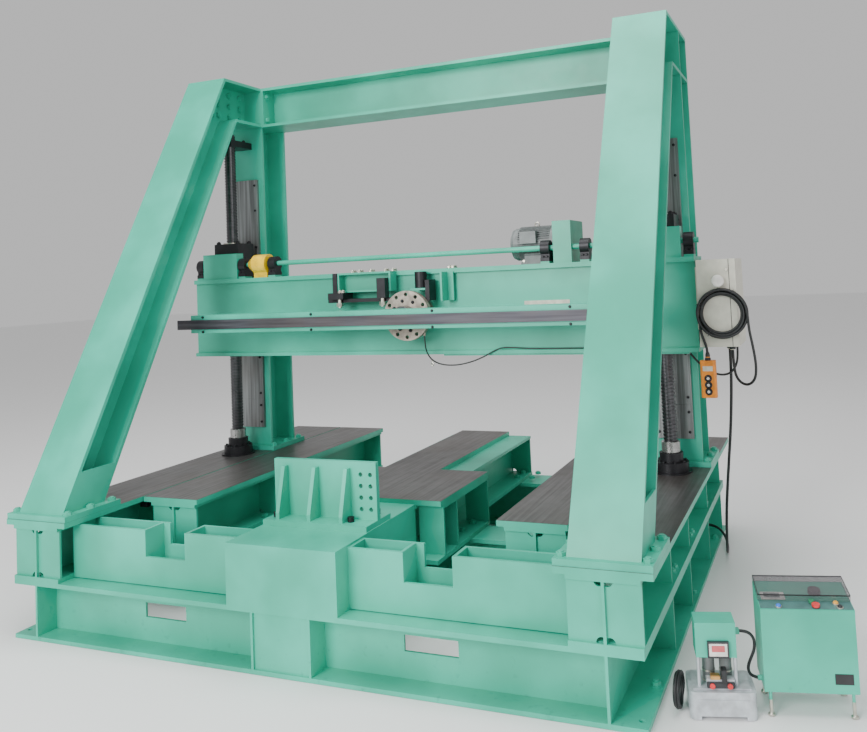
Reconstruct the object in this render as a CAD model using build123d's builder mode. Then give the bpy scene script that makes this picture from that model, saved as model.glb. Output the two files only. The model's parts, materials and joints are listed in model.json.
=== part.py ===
from build123d import *
import os
from math import atan2, cos, pi, radians, sin, tan

os.makedirs("parts", exist_ok=True)

# Horizontal-thrust loading press with a screw-lifted crosshead, its power pack and its console.
# Millimetres. X runs along the crosshead, Y from the front to the back, Z up from the floor.
# The origin is on the floor at the centre of the base.

# ---- driving dimensions of the base ----
BASE_DEPTH = 2640
SIDE_X = 1485             # centre line of side beams, columns, braces and lift screws
FLANGE_W = 300            # all wide-flange sections
WEB_T = 12
LOWER_H = 294             # lower tier of beams
UPPER_H = 276             # upper tier of beams
FLOOR_T = 20
FLANGE_T = 22
TOP_FLANGE_T = 18
TABLE_T = 28              # machined table plates
FOOT_T = 28               # foot plates of braces and columns
STIFF_T = 12
COPE_R = 22               # quarter-round cut where a stiffener clears the fillet of a section

FRONT = -BASE_DEPTH / 2
BACK = BASE_DEPTH / 2
HALF_W = FLANGE_W / 2
WEB_H = WEB_T / 2
UPPER_TOP = LOWER_H + UPPER_H
TABLE_TOP = UPPER_TOP + TABLE_T
FOOT_TOP = TABLE_TOP + FOOT_T
LOWER_WEB = (FLOOR_T, LOWER_H - FLANGE_T)
UPPER_WEB = (LOWER_H + FLANGE_T, UPPER_TOP - TOP_FLANGE_T)
INNER_SIDE_X = SIDE_X - HALF_W
SIDES = (("left", -1), ("right", 1))

# ---- lower tier ----
CROSS_W = 250             # flange width of the three cross beams
CROSS_FROM_FRONT = (125, 1290, 2515)
FORK_WINDOWS = ((-883, -634), (554, 812))
FORK_Z = (135, 206)
PANEL_X = (-160, 145)     # centre stiffeners of the front cross beam, with a panel between
PANEL_SETBACK = 10
STIFFENERS_FROM_FRONT = (700, 1230, 1945, 2560)
ANCHOR_X = 1600           # anchor holes through the floor flanges
ANCHOR_FROM_END = 60
ANCHOR_R = 13

# ---- upper tier ----
SIDE_PLATE_HALF_W = 200
INNER_FRONT = FRONT + 530
INNER_BEAMS = (("left", -1072, (-1275, -907)), ("right", 1033, (845, 1195)))
END_INSET = 14            # the end stiffeners sit this far inside the beam ends
NOSE_HALF_W = 295
NOSE_TOP = 575
NOSE_DEPTH = 780
NOSE_T = 16
WING_X = (300, 443)       # wings beside the centre beam, right-hand side
WING_FROM_FRONT = (811, 1434)
WING_STIFFENER = 977
WING_FLANGE_FRONT = 722
CENTRE_PLATE_FROM_FRONT = (780, 1440)
REAR_PLATE_X = (-235, 135)

# ---- notched boxes at the front ----
BOX_FROM_FRONT = (100, 246)
BOX_Z = (298, 565)
BOX_T = 16
NOTCHES = {"left": (-859, -616), "right": (573, 808)}
NOTCH_FLOOR = (435, 460)  # front plate and rear plate
NOTCH_LIP = 40            # the rear plate reaches this far past the cross plate into the notch

# ---- reaction bracket on the nose ----
BRACKET_HALF_W = 290
BRACKET_FROM_FRONT = (283, 523)
BRACKET_BASE_T = 26
BRACKET_WALL = (392, 420)
BRACKET_TOP = 875
RIB_X = (-218, -40, 139)
RIB_T = 20
BRACKET_HOLE_R = 11
BRACKET_HOLES_X = (205, 258)
BRACKET_HOLES_Z = (650, 705, 760, 815)
RIB_STEP = 30             # square step of a rib at its foot and at its head
RIB_SETBACK = 20          # ribs start this far behind the base plate's front edge

# ---- braces, columns and top crossbeam ----
FRAME_TOP = 3155
HEAD_BOTTOM = 2874
BRACE_FOOT = 35           # front face at the top of the foot plate, from the front
BRACE_HEAD = 1411         # front face at the frame's top, from the front
BRACE_DEPTH = 273         # measured level, front face to rear face
BRACE_FLANGE = 22         # measured level
HEAD_START = BRACE_DEPTH - BRACE_FLANGE / 2       # the head's web meets the brace's web here
COLUMN_FROM_FRONT = (1805, 2085)
COLUMN_FLANGE_T = 18
FOOT_MARGIN = 50
BRACE_FOOT_PLATE = (4, 372)
COLUMN_FOOT_PLATE = (1760, 2135)
HEAD_FLANGE_T = 20
CROSSBEAM_END_T = 20
GUSSET_T = 14
GUSSET_H = 190

# ---- guide strips and lift screws ----
STRIP_HALF_W = 110
STRIP_T = 20
STRIP_Z = (752, 946, 2500)
STRIP_GAP = 1
SCREW_FROM_FRONT = 1635
SCREW_R = 40
SCREW_TOP = 2815
SCREW_CHAMFER = 6
DISC = (112, 8)           # radius, height of the steel disc under each screw
FOOT_FLANGE = (95, 52)
FOOT_SLEEVE = (66, 50)
COLLAR = (52, 60)
TOP_BRACKET_Z = (2722, 2767)
TOP_BRACKET_HALF_W = 60
SCREW_HOLE_GAP = 16       # crosshead flanges clear the screw by this much all round
NUT_WALL = 20
NUT_BORE_GAP = 0.4
NUT_PROUD = 8             # each nut stands this far above its housing
BEARING_GAP = 0.05        # running fit, radial

# ---- crosshead ----
CROSS_HALF_L = 1695
CROSS_Z = (1280, 1800)
CROSS_FROM_FRONT_Y = (1480, 1780)
CROSS_WEBS = (1505, 1741)
CROSS_WEB_T = 14
CROSS_TOP_T = 28
CROSS_BOTTOM_T = 22
DOUBLER_X = (170, 1640)
DOUBLER_T = 10
PAD_T = 12
SOCKET_X = (1120, 1156)    # junction box of the pressure sensor, on the bottom flange
SOCKET_TOP = 1330
SOCKET_SETBACK = 2

# ---- lift drive on the crosshead ----
SHAFT_FROM_FRONT = 1540
SHAFT_Z = 1890
SHAFT_R = 16
SHAFT_X = (-1690, 1718)
PILLOWS_X = (-1658, -1312, -1070, 838, 1077, 1666)
PILLOW_HALF_L = 27
PILLOW_HALF_D = 38
PILLOW_CROWN_R = 46
PILLOW_FOOT_T = 22
PILLOW_NECK_HALF_D = 30
COUPLING_HALF_L = 45
COUPLING_R = 30
WORM_HALF_L = 140
WORM_FROM_FRONT = (1496, 1566)
WORM_TOP = 1970
HOUSING_HALF_L = 100
HOUSING_FROM_FRONT = (1568, 1735)
HOUSING_TOP = 2042
GUARD_X = (-1268, -1111)
GUARD_R = 64
GUARD_BORE_R = 36
GUARD_TIP_L = 50
GUARD_NOSE_R = 26
GUARD_WALL_L = (25, 5)     # end walls, at the tip and at the wide end
GUARD_FOOT_HALF_D = 30
GUARD_FOOT_LAP = 8
GUARD_SHAFT_GAP = 2
DRIVE_BOX_X = (890, 1000)
DRIVE_BOX_FROM_FRONT = (1505, 1775)
DRIVE_BOX_TOP = 2045
MOTOR_FROM_FRONT = 1686
MOTOR_Z = 1924
MOTOR_R = 98
MOTOR_X = (618, 866)
MOTOR_FLANGE_T = 24
MOTOR_FLANGE_STEP = 8     # flange over, fan cowl under, the motor's radius
MOTOR_COWL_L = 22
MOTOR_FOOT_X = (40, 30)   # in from the motor's ends
MOTOR_FOOT_HALF_D = 90
MOTOR_FOOT_T = 14
MOTOR_LEG_X = (60, 50)
MOTOR_LEGS = ((-80, -60), (60, 80))
MOTOR_LEG_UNDER = 40
TERMINAL_X = (50, 150)
TERMINAL_Y = (-128, -60)
TERMINAL_H = 72

# ---- ram ----
RAM_Z = 1526
RAM_FLANGE_R = 150
RAM_FLANGE_FROM_FRONT = (1345, 1385)
RAM_BODY_R = 112
RAM_END = 1740
RAM_BORE_R = 80
RAM_GLAND = 1425
ROD_R = 60
PISTON_T = 50
PISTON_FROM_FRONT = 1650
FLANGE_HOLES = 12
FLANGE_HOLE_R = 12
FLANGE_HOLE_PCD_R = 128
RAM_CAP_T = 20            # closed rear end of the cylinder
SENSOR_GLAND_L = 40
LOAD_BAR_HALF_L = 1460
LOAD_BAR_FROM_FRONT = (1165, 1280)
LOAD_BAR_Z = (1460, 1573)
LOAD_STRIP_HALF_L = 1557
LOAD_STRIP_T = 15
LOAD_STRIP_Z = (1484, 1544)

# brackets over the ram, on the crosshead's front
CHANNEL_X = (-503, -128)
CHANNEL_Z = (1678, 1800)
CHANNEL_FROM_FRONT = 1400
BEHIND_DISC = 1387
CLAMP_X = (-540, -431)
CLAMP_Z = (1638, 1678)
PLATE_X = (111, 139)
PLATE_Z = (1610, 1736)
SHELF_TOP = 1688
SHELF_START = 10
ANGLE_X = (212, 263)
ANGLE_Z = (1606, 1780)
CYLINDER_AT = (64, 1432)
CYLINDER_R = 37
CYLINDER_H = 99
RAIL_X = (-568, -125)     # rail under the channel
RAIL_D = 54
RAIL_T = 22
CLAMP_FROM_FRONT = 1340
CLAMP_GAP = 20
LEVER_X = (-199, -141)
LEVER_FROM_FRONT = 1350
LEVER_TOP = 1760
CHEEK_GAP = 5

# ---- bolts ----
BOLT_R = 12
HEX_R = 21                # across corners / 2
HEAD_H = 15
THREAD_OUT = 5
FOOT_BOLTS = (45, 190, 335, 1800, 1945, 2095)      # from the front
SPLICE_BOLTS = ((1455, 1515, 1630, 1745), (2935, 3010, 3085))
END_PLATE_BOLTS = ((1850, 2040), (2930, 3100))
TIER_BOLTS_X = (-1180, -965, -250, 250, 363, 925, 1140)
TIER_BOLTS = (1210, 1370, 2450, 2580)
CAP_SCREWS_X = (-250, 172, 232)
CAP_SCREWS_FRONT = 345    # the right-hand screw has no partner in front of the wall
CAP_SCREWS_BACK = 495
CAP_SCREW = (16, 24)      # radius, height
JOINT_CLAMP_X = (-1330, -1282)
JOINT_CLAMP = (560, 620)
JOINT_CLAMP_UNDER = (40, 2)

# ---- cabinet, coil and pendant ----
CABINET_X = (1708, 1912)
CABINET_Z = (1310, 1777)
CABINET_FROM_FRONT = (1462, 1830)
CABINET_T = 4
DOOR_X = (1708, 1876)
DOOR_T = 20
DOOR_GAP = 2
HINGE_GAP = 2
KNOB_X = 1823
KNOB_Z = 1662
KNOB_R = 31
KNOB_HEAD_L = 14
KNOB_NECK = (12, 30)      # radius, length
FILLER_SETBACK = 2        # strip beside the door, behind the door's face
HANGER_FROM_FRONT = (1492, 1762)
HANGER_Z = (1400, 1740)
COIL_X = 1832
COIL_Z = 1487
COIL_R = 120
COIL_SECTION_R = 22
PENDANT_X = 1744
PENDANT_Z = (1045, 1240)
PENDANT_W = 80
PENDANT_D = 56
PENDANT_FROM_FRONT = 1404
PENDANT_CORNER_R = 12
SLEEVE = (13, 20)         # radius, height of the pendant's cable sleeve
BUTTON_CHAMFER = 2
BUTTON_R = 13
BUTTON_OUT = 8
BUTTON_IN = 12
BUTTON_GAP = 0.3
BUTTON_TRAVEL = 4
PENDANT_BUTTONS = (("up", 1148), ("down", 1113), ("stop", 1078))
GLAND_R = 14
GLAND_H = 24

# ---- cords (points are chosen by hand, from the front edge and the floor) ----
SUPPLY_D = 16
SUPPLY_GLAND_R = 13
PENDANT_CORD_D = 18
SENSOR_D = 8
SENSOR_X = 106            # gland under the rim of the ram's flange
SENSOR_Z = 1404
SENSOR_GLAND_R = 8

# ---- console (its own X, Y and Z start at its front left corner on the floor) ----
CONSOLE_AT = (2040, 265)
CONSOLE_TURN = 12
CONSOLE_W = 350
CONSOLE_Z = (93, 408)
CONSOLE_DEPTH = 210
CONSOLE_BACK_Z = 440
CONSOLE_T = 3
PANEL_DROP = 10           # the hollow ends this far under the front edge of the sloping panel
CONSOLE_LEG_R = 6
LEG_INSET = (22, 14)
LID_T = 4
LID_START = 60            # up the slope from its front edge
LID_GAP = 0.5
LID_H = 26
STOP_AT = (211, 17)       # across the panel, up the slope
START_AT = (200, 44)
DIAL_AT = (225, 122)
STOP_R = 15
START_R = 11
CAP_H = 9
STEM_R = 7
STEM_DEPTH = 16
DIAL_R = 24
DIAL_H = 16
DIAL_STEM_R = 5

# ---- power pack (its own X, Y and Z start at its front left corner on the floor) ----
PUMP_AT = (1768, 158)
PUMP_TURN = 14
TANK_W = 255
TANK_D = 190
TANK_H = 104
TANK_FILLET = 26
TANK_FOOT = 42
TANK_ARCH_H = 14
COVER_X = (36, 192)
COVER_Y = (40, 151)
COVER_Z = (219, 351)
COVER_T = 3
POST_R = 7
MANIFOLD_X = (70, 176)
MANIFOLD_Y = (26, 62)
MANIFOLD_TOP = 142
KNOBS_X = (90, 157)
KNOB_AXIS_Z = 122
KNOB_L = 16
KNOB_CAP_R = 10
KNOB_STEM_L = 14
KNOB_STEM_R = 4
PUMP_MOTORS_X = (86, 152)
PUMP_MOTORS_Y = 96
PUMP_MOTOR_R = 24
METER_X = (80, 162)
METER_Z = (222, 284)
METER_T = 14
PUMP_COIL_AT = (-34, 78, 78)
PUMP_COIL_R = 62
PUMP_COIL_SECTION_R = 13
PUMP_COIL_TURN = -16
HOSE_D = 12
HOSE_GLAND_L = 20
HOSE_GLAND_R = 10
HOSE_BOSS_Y = (85, 105)
HOSE_BOSS_Z = (290, 310)


def from_front(distance):
    """Y of a place measured back from the base's front edge."""
    return FRONT + distance


def span(pair):
    """Y limits of a piece measured back from the base's front edge."""
    return (from_front(pair[0]), from_front(pair[1]))


def block(x, y, z, mode=Mode.ADD):
    """A block between (low, high) limits along each axis."""
    middle = ((x[0] + x[1]) / 2, (y[0] + y[1]) / 2, (z[0] + z[1]) / 2)
    with Locations(middle):
        Box(x[1] - x[0], y[1] - y[0], z[1] - z[0], mode=mode)


def bar(start, direction, length, radius, mode=Mode.ADD):
    """A round bar, or a round hole, from a start point along a direction."""
    with Locations(Plane(origin=start, z_dir=direction)):
        Cylinder(radius, length, align=(Align.CENTER, Align.CENTER, Align.MIN), mode=mode)


def i_section(width, height, web, bottom, top):
    """An I section that stands on the sketch's origin."""
    with Locations((0, height / 2)):
        Rectangle(web, height)
    with Locations((0, bottom / 2)):
        Rectangle(width, bottom)
    with Locations((0, height - top / 2)):
        Rectangle(width, top)


def end_plates(x, y, z, half_width, web, thickness):
    """Two stiffeners, one each side of a web along Y, with their inner corners cut round."""
    for side in (-1, 1):
        inner = x + side * web / 2
        outer = x + side * half_width
        block(sorted((inner, outer)), (y, y + thickness), z)
    for corner_z in z:
        bar((x - web / 2 - COPE_R / 2, y - 1, corner_z), (0, 1, 0), thickness + 2, COPE_R, Mode.SUBTRACT)
        bar((x + web / 2 + COPE_R / 2, y - 1, corner_z), (0, 1, 0), thickness + 2, COPE_R, Mode.SUBTRACT)


def cord_points(*points):
    """Turns (x, distance from the front, z) into places."""
    return [(x, from_front(distance), z) for x, distance, z in points]


def hand_in(piece, label):
    """Name a finished piece and write its file."""
    piece.label = label
    export_step(piece, f"parts/{label}.step")


HOSE_ROUTE = cord_points(
    (1950, 301.3, 300), (1981, 309, 300), (2006, 317, 272), (2005, 320, 228), (1987, 322, 187),
    (1976, 325, 158), (1976, 329, 134), (1987, 334, 116), (2009, 340, 110))
HOSE_ROUTE_END = HOSE_ROUTE[-1]
SUPPLY_ROUTE = cord_points(
    (1844, 1600, 1286), (1844, 1600, 1180), (1833, 1622, 1010), (1815, 1655, 830), (1789, 1700, 640),
    (1764, 1755, 460), (1744, 1820, 300), (1730, 1905, 160), (1716, 2010, 60), (1702, 2120, 10),
    (1692, 2240, 9), (1674, 2340, 24), (1640, 2410, 52), (1592, 2452, 68), (1536, 2470, 70),
    (1500, 2470, 70))
SUPPLY_ROUTE_END = SUPPLY_ROUTE[-1]

# ================= base =================

with BuildPart() as lower_frame:
    with BuildSketch(Plane.XZ.offset(-BACK)):
        for x in (-SIDE_X, SIDE_X):
            with Locations((x, 0)):
                i_section(FLANGE_W, LOWER_H, WEB_T, FLOOR_T, FLANGE_T)
    extrude(amount=BASE_DEPTH)
    for centre in CROSS_FROM_FRONT:
        with BuildSketch(Plane.YZ.offset(-SIDE_X)):
            with Locations((from_front(centre), 0)):
                i_section(CROSS_W, LOWER_H, WEB_T, FLOOR_T, FLANGE_T)
        extrude(amount=2 * SIDE_X)
    for window in FORK_WINDOWS:
        front_web = from_front(CROSS_FROM_FRONT[0])
        block(window, (front_web - WEB_T, front_web + WEB_T), FORK_Z, Mode.SUBTRACT)
    for x in PANEL_X:
        block((x - WEB_H, x + WEB_H), (FRONT, FRONT + CROSS_FROM_FRONT[0]), LOWER_WEB)
    block(PANEL_X, (FRONT + PANEL_SETBACK, FRONT + PANEL_SETBACK + STIFF_T), LOWER_WEB)
    for x, out in ((-SIDE_X, -1), (SIDE_X, 1)):
        for distance in STIFFENERS_FROM_FRONT:
            edge = x + out * (HALF_W - STIFF_T)
            block(sorted((x, edge)), (from_front(distance), from_front(distance) + STIFF_T), LOWER_WEB)
    for x in (-ANCHOR_X, ANCHOR_X):
        for y in (FRONT + ANCHOR_FROM_END, BACK - ANCHOR_FROM_END):
            bar((x, y, 0), (0, 0, 1), FLOOR_T, ANCHOR_R, Mode.SUBTRACT)
    bar(SUPPLY_ROUTE_END, (-1, 0, 0), SUPPLY_ROUTE_END[0] - SIDE_X, SUPPLY_GLAND_R)
hand_in(lower_frame.part, "lower_frame")

for side, sign in SIDES:
    x = sign * SIDE_X
    with BuildPart() as side_beam:
        with BuildSketch(Plane.XZ.offset(-BACK)):
            with Locations((x, LOWER_H)):
                i_section(FLANGE_W, UPPER_H, WEB_T, FLANGE_T, TOP_FLANGE_T)
        extrude(amount=BASE_DEPTH)
        end_plates(x, FRONT + END_INSET, UPPER_WEB, HALF_W, WEB_T, STIFF_T)
        for distance in STIFFENERS_FROM_FRONT:
            end_plates(x, from_front(distance), UPPER_WEB, HALF_W - STIFF_T, WEB_T, STIFF_T)
        block((x - SIDE_PLATE_HALF_W, x + SIDE_PLATE_HALF_W), (FRONT, BACK), (UPPER_TOP, TABLE_TOP))
    hand_in(side_beam.part, f"side_beam_{side}")

for side, x, plate in INNER_BEAMS:
    with BuildPart() as inner_beam:
        with BuildSketch(Plane.XZ.offset(-BACK)):
            with Locations((x, LOWER_H)):
                i_section(FLANGE_W, UPPER_H, WEB_T, FLANGE_T, TOP_FLANGE_T)
        extrude(amount=BACK - INNER_FRONT)
        for y in (INNER_FRONT + END_INSET, from_front(CROSS_FROM_FRONT[1]), BACK - END_INSET - STIFF_T):
            end_plates(x, y, UPPER_WEB, HALF_W - 1, WEB_T, STIFF_T)
        block(plate, (INNER_FRONT, BACK), (UPPER_TOP, TABLE_TOP))
    hand_in(inner_beam.part, f"inner_beam_{side}")

with BuildPart() as centre_beam:
    with BuildSketch(Plane.XZ.offset(-BACK)):
        for x in (-HALF_W, HALF_W):
            with Locations((x, LOWER_H)):
                i_section(FLANGE_W, UPPER_H, WEB_T, FLANGE_T, TOP_FLANGE_T)
    extrude(amount=BASE_DEPTH - NOSE_DEPTH)
    for x in (-HALF_W, HALF_W):
        end_plates(x, BACK - END_INSET - STIFF_T, UPPER_WEB, HALF_W, WEB_T, STIFF_T)
    # nose: front plate, cheeks, sole and a cover plate a little above the beams
    nose_back = FRONT + NOSE_DEPTH
    block((-NOSE_HALF_W, NOSE_HALF_W), (FRONT, FRONT + NOSE_T), (LOWER_H, NOSE_TOP))
    block((-NOSE_HALF_W, NOSE_HALF_W), (FRONT, nose_back), (NOSE_TOP - NOSE_T, NOSE_TOP))
    block((-NOSE_HALF_W, NOSE_HALF_W), (FRONT, nose_back), (LOWER_H, LOWER_H + FLANGE_T))
    for cheek in ((-NOSE_HALF_W, -NOSE_HALF_W + NOSE_T), (NOSE_HALF_W - NOSE_T, NOSE_HALF_W)):
        block(cheek, (FRONT, nose_back), (LOWER_H, NOSE_TOP))
    block((-WEB_T, WEB_T), (FRONT, nose_back), (LOWER_H, NOSE_TOP))
    # wings under the wide centre plate
    for sign in (-1, 1):
        wing = sorted((sign * WING_X[0], sign * WING_X[1]))
        flange_back = from_front(WING_FROM_FRONT[1])
        block(wing, (from_front(WING_FLANGE_FRONT), flange_back), (LOWER_H, LOWER_H + FLANGE_T))
        block(wing, (from_front(WING_FROM_FRONT[0]), flange_back), (UPPER_TOP - TOP_FLANGE_T, UPPER_TOP))
        for distance in (WING_FROM_FRONT[0], WING_STIFFENER, WING_FROM_FRONT[1] - STIFF_T):
            block(wing, (from_front(distance), from_front(distance) + STIFF_T), UPPER_WEB)
hand_in(centre_beam.part, "centre_beam")

with BuildPart() as centre_table_plate:
    plate_front, plate_back = span(CENTRE_PLATE_FROM_FRONT)
    block((-WING_X[1], WING_X[1]), (plate_front, plate_back), (UPPER_TOP, TABLE_TOP))
    block(REAR_PLATE_X, (plate_back, BACK), (UPPER_TOP, TABLE_TOP))
hand_in(centre_table_plate.part, "centre_table_plate")

for side, sign in SIDES:
    low, high = sorted((sign * NOSE_HALF_W, sign * INNER_SIDE_X))
    box_front, box_back = span(BOX_FROM_FRONT)
    notch = NOTCHES[side]
    with BuildPart() as notched_box:
        block((low, high), (box_front, box_front + BOX_T), BOX_Z)
        block((low, high), (box_back - BOX_T, box_back), BOX_Z)
        block(notch, (box_front, box_front + BOX_T), (NOTCH_FLOOR[0], BOX_Z[1]), Mode.SUBTRACT)
        rear_notch = (notch[0] + NOTCH_LIP, notch[1])
        block(rear_notch, (box_back - BOX_T, box_back), (NOTCH_FLOOR[1], BOX_Z[1]), Mode.SUBTRACT)
        for x in (notch[0] - BOX_T, notch[1], low, high - BOX_T):
            block((x, x + BOX_T), (box_front, box_back), BOX_Z)
    hand_in(notched_box.part, f"notched_box_{side}")

with BuildPart() as reaction_bracket:
    base_top = NOSE_TOP + BRACKET_BASE_T
    wall_front, wall_back = span(BRACKET_WALL)
    base_front, base_back = span(BRACKET_FROM_FRONT)
    block((-BRACKET_HALF_W, BRACKET_HALF_W), (base_front, base_back), (NOSE_TOP, base_top))
    block((-BRACKET_HALF_W, BRACKET_HALF_W), (wall_front, wall_back), (base_top, BRACKET_TOP))
    for x in RIB_X:
        with BuildSketch(Plane.YZ.offset(x - RIB_T / 2)):
            with BuildLine():
                rib_top = BRACKET_TOP - RIB_STEP
                rib_front = base_front + RIB_SETBACK
                Polyline((wall_front, base_top), (rib_front, base_top), (rib_front, base_top + RIB_STEP),
                         (wall_front - RIB_STEP, rib_top), (wall_front, rib_top), close=True)
            make_face()
        extrude(amount=RIB_T)
    for x in BRACKET_HOLES_X:
        for z in BRACKET_HOLES_Z:
            bar((x, wall_front - 1, z), (0, 1, 0), wall_back - wall_front + 2, BRACKET_HOLE_R, Mode.SUBTRACT)
hand_in(reaction_bracket.part, "reaction_bracket")

# ================= side frames =================

BRACE_LEAN = (BRACE_HEAD - BRACE_FOOT) / (FRAME_TOP - FOOT_TOP)


def brace_y(z, set_back=0):
    """Y on the brace's front face at a height, or on a line set back level from it."""
    return from_front(BRACE_FOOT + (z - FOOT_TOP) * BRACE_LEAN + set_back)


def leaning_strip(near, far, z_low, z_high):
    """Outline in YZ between two lines parallel to the brace's front face."""
    Polyline((brace_y(z_low, near), z_low), (brace_y(z_low, far), z_low),
             (brace_y(z_high, far), z_high), (brace_y(z_high, near), z_high), close=True)


for side, sign in SIDES:
    x = sign * SIDE_X
    foot_x = (x - HALF_W - FOOT_MARGIN, x + HALF_W + FOOT_MARGIN)
    with BuildPart() as brace:
        for near, top in ((0, FRAME_TOP), (BRACE_DEPTH - BRACE_FLANGE, HEAD_BOTTOM)):
            with BuildSketch(Plane.YZ.offset(x - HALF_W)):
                with BuildLine():
                    leaning_strip(near, near + BRACE_FLANGE, FOOT_TOP, top)
                make_face()
            extrude(amount=FLANGE_W)
        with BuildSketch(Plane.YZ.offset(x - WEB_H)):
            with BuildLine():
                leaning_strip(BRACE_FLANGE / 2, HEAD_START, FOOT_TOP, FRAME_TOP - HEAD_FLANGE_T)
            make_face()
        extrude(amount=WEB_T)
        block(foot_x, span(BRACE_FOOT_PLATE), (TABLE_TOP, FOOT_TOP))
        gusset_y = (brace_y(FOOT_TOP, BRACE_FLANGE), brace_y(FOOT_TOP, BRACE_DEPTH - BRACE_FLANGE))
        for edge in (x - HALF_W, x + HALF_W - GUSSET_T):
            with BuildSketch(Plane.YZ.offset(edge)):
                with BuildLine():
                    leaning_strip(BRACE_FLANGE / 2, BRACE_DEPTH - BRACE_FLANGE / 2, FOOT_TOP,
                                  FOOT_TOP + GUSSET_H)
                make_face()
            extrude(amount=GUSSET_T)
    hand_in(brace.part, f"brace_{side}")

column_front, column_back = span(COLUMN_FROM_FRONT)
for side, sign in SIDES:
    x = sign * SIDE_X
    foot_x = (x - HALF_W - FOOT_MARGIN, x + HALF_W + FOOT_MARGIN)
    with BuildPart() as column:
        for y in (column_front, column_back - COLUMN_FLANGE_T):
            block((x - HALF_W, x + HALF_W), (y, y + COLUMN_FLANGE_T), (FOOT_TOP, HEAD_BOTTOM))
        block((x - WEB_H, x + WEB_H), (column_front, column_back), (FOOT_TOP, HEAD_BOTTOM))
        block(foot_x, span(COLUMN_FOOT_PLATE), (TABLE_TOP, FOOT_TOP))
        # head: a short section from the brace's web to the back of the column, with a longer top flange
        for z_low, start in ((HEAD_BOTTOM, HEAD_START), (FRAME_TOP - HEAD_FLANGE_T, BRACE_FLANGE)):
            z_high = z_low + HEAD_FLANGE_T
            with BuildSketch(Plane.YZ.offset(x - HALF_W)):
                with BuildLine():
                    Polyline((brace_y(z_low, start), z_low), (column_back, z_low),
                             (column_back, z_high), (brace_y(z_high, start), z_high), close=True)
                make_face()
            extrude(amount=FLANGE_W)
        with BuildSketch(Plane.YZ.offset(x - WEB_H)):
            with BuildLine():
                Polyline((brace_y(HEAD_BOTTOM, HEAD_START), HEAD_BOTTOM), (column_back, HEAD_BOTTOM),
                         (column_back, FRAME_TOP), (brace_y(FRAME_TOP, HEAD_START), FRAME_TOP), close=True)
            make_face()
        extrude(amount=WEB_T)
        for y in (column_front, column_back - STIFF_T):
            block((x - HALF_W, x + HALF_W), (y, y + STIFF_T), (HEAD_BOTTOM, FRAME_TOP))
    hand_in(column.part, f"column_{side}")

with BuildPart() as top_crossbeam:
    with BuildSketch(Plane.YZ.offset(-INNER_SIDE_X)):
        with Locations(((column_front + column_back) / 2, HEAD_BOTTOM)):
            head_depth = column_back - column_front
            i_section(head_depth, FRAME_TOP - HEAD_BOTTOM, WEB_T, HEAD_FLANGE_T, HEAD_FLANGE_T)
    extrude(amount=2 * INNER_SIDE_X)
    for x in (-INNER_SIDE_X, INNER_SIDE_X - CROSSBEAM_END_T):
        block((x, x + CROSSBEAM_END_T), (column_front, column_back), (HEAD_BOTTOM, FRAME_TOP))
hand_in(top_crossbeam.part, "top_crossbeam")

with BuildPart() as guide_strips:
    for sign in (-1, 1):
        strip_x = (sign * SIDE_X - STRIP_HALF_W, sign * SIDE_X + STRIP_HALF_W)
        strip_y = (column_front - STRIP_T, column_front)
        block(strip_x, strip_y, (STRIP_Z[0], STRIP_Z[1]))
        block(strip_x, strip_y, (STRIP_Z[1] + STRIP_GAP, STRIP_Z[2]))
hand_in(guide_strips.part, "guide_strips")

# ================= lift screws =================

SCREW_Y = from_front(SCREW_FROM_FRONT)
DISC_TOP = TABLE_TOP + DISC[1]
FLANGE_TOP = DISC_TOP + FOOT_FLANGE[1]
SLEEVE_TOP = FLANGE_TOP + FOOT_SLEEVE[1]

for side, sign in SIDES:
    x = sign * SIDE_X
    with BuildPart() as lift_screw:
        bar((x, SCREW_Y, DISC_TOP), (0, 0, 1), SCREW_TOP - DISC_TOP, SCREW_R)
        bar((x, SCREW_Y, SLEEVE_TOP), (0, 0, 1), COLLAR[1], COLLAR[0])
        chamfer(lift_screw.edges().filter_by(GeomType.CIRCLE).sort_by(Axis.Z)[-1], SCREW_CHAMFER)
    hand_in(lift_screw.part, f"lift_screw_{side}")

with BuildPart() as screw_supports:
    for sign in (-1, 1):
        x = sign * SIDE_X
        bar((x, SCREW_Y, TABLE_TOP), (0, 0, 1), DISC[1], DISC[0])
        bar((x, SCREW_Y, DISC_TOP), (0, 0, 1), FOOT_FLANGE[1], FOOT_FLANGE[0])
        bar((x, SCREW_Y, FLANGE_TOP), (0, 0, 1), FOOT_SLEEVE[1], FOOT_SLEEVE[0])
        bar((x, SCREW_Y, DISC_TOP), (0, 0, 1), SLEEVE_TOP - DISC_TOP, SCREW_R, Mode.SUBTRACT)
        block((x - TOP_BRACKET_HALF_W, x + TOP_BRACKET_HALF_W),
              (SCREW_Y - TOP_BRACKET_HALF_W, column_front), TOP_BRACKET_Z)
        bar((x, SCREW_Y, TOP_BRACKET_Z[0]), (0, 0, 1), TOP_BRACKET_Z[1] - TOP_BRACKET_Z[0], SCREW_R,
            Mode.SUBTRACT)
hand_in(screw_supports.part, "screw_supports")

# ================= crosshead =================

cross_y = span(CROSS_FROM_FRONT_Y)
shaft_y = from_front(SHAFT_FROM_FRONT)
PAD_TOP = CROSS_Z[1] + PAD_T

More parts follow.
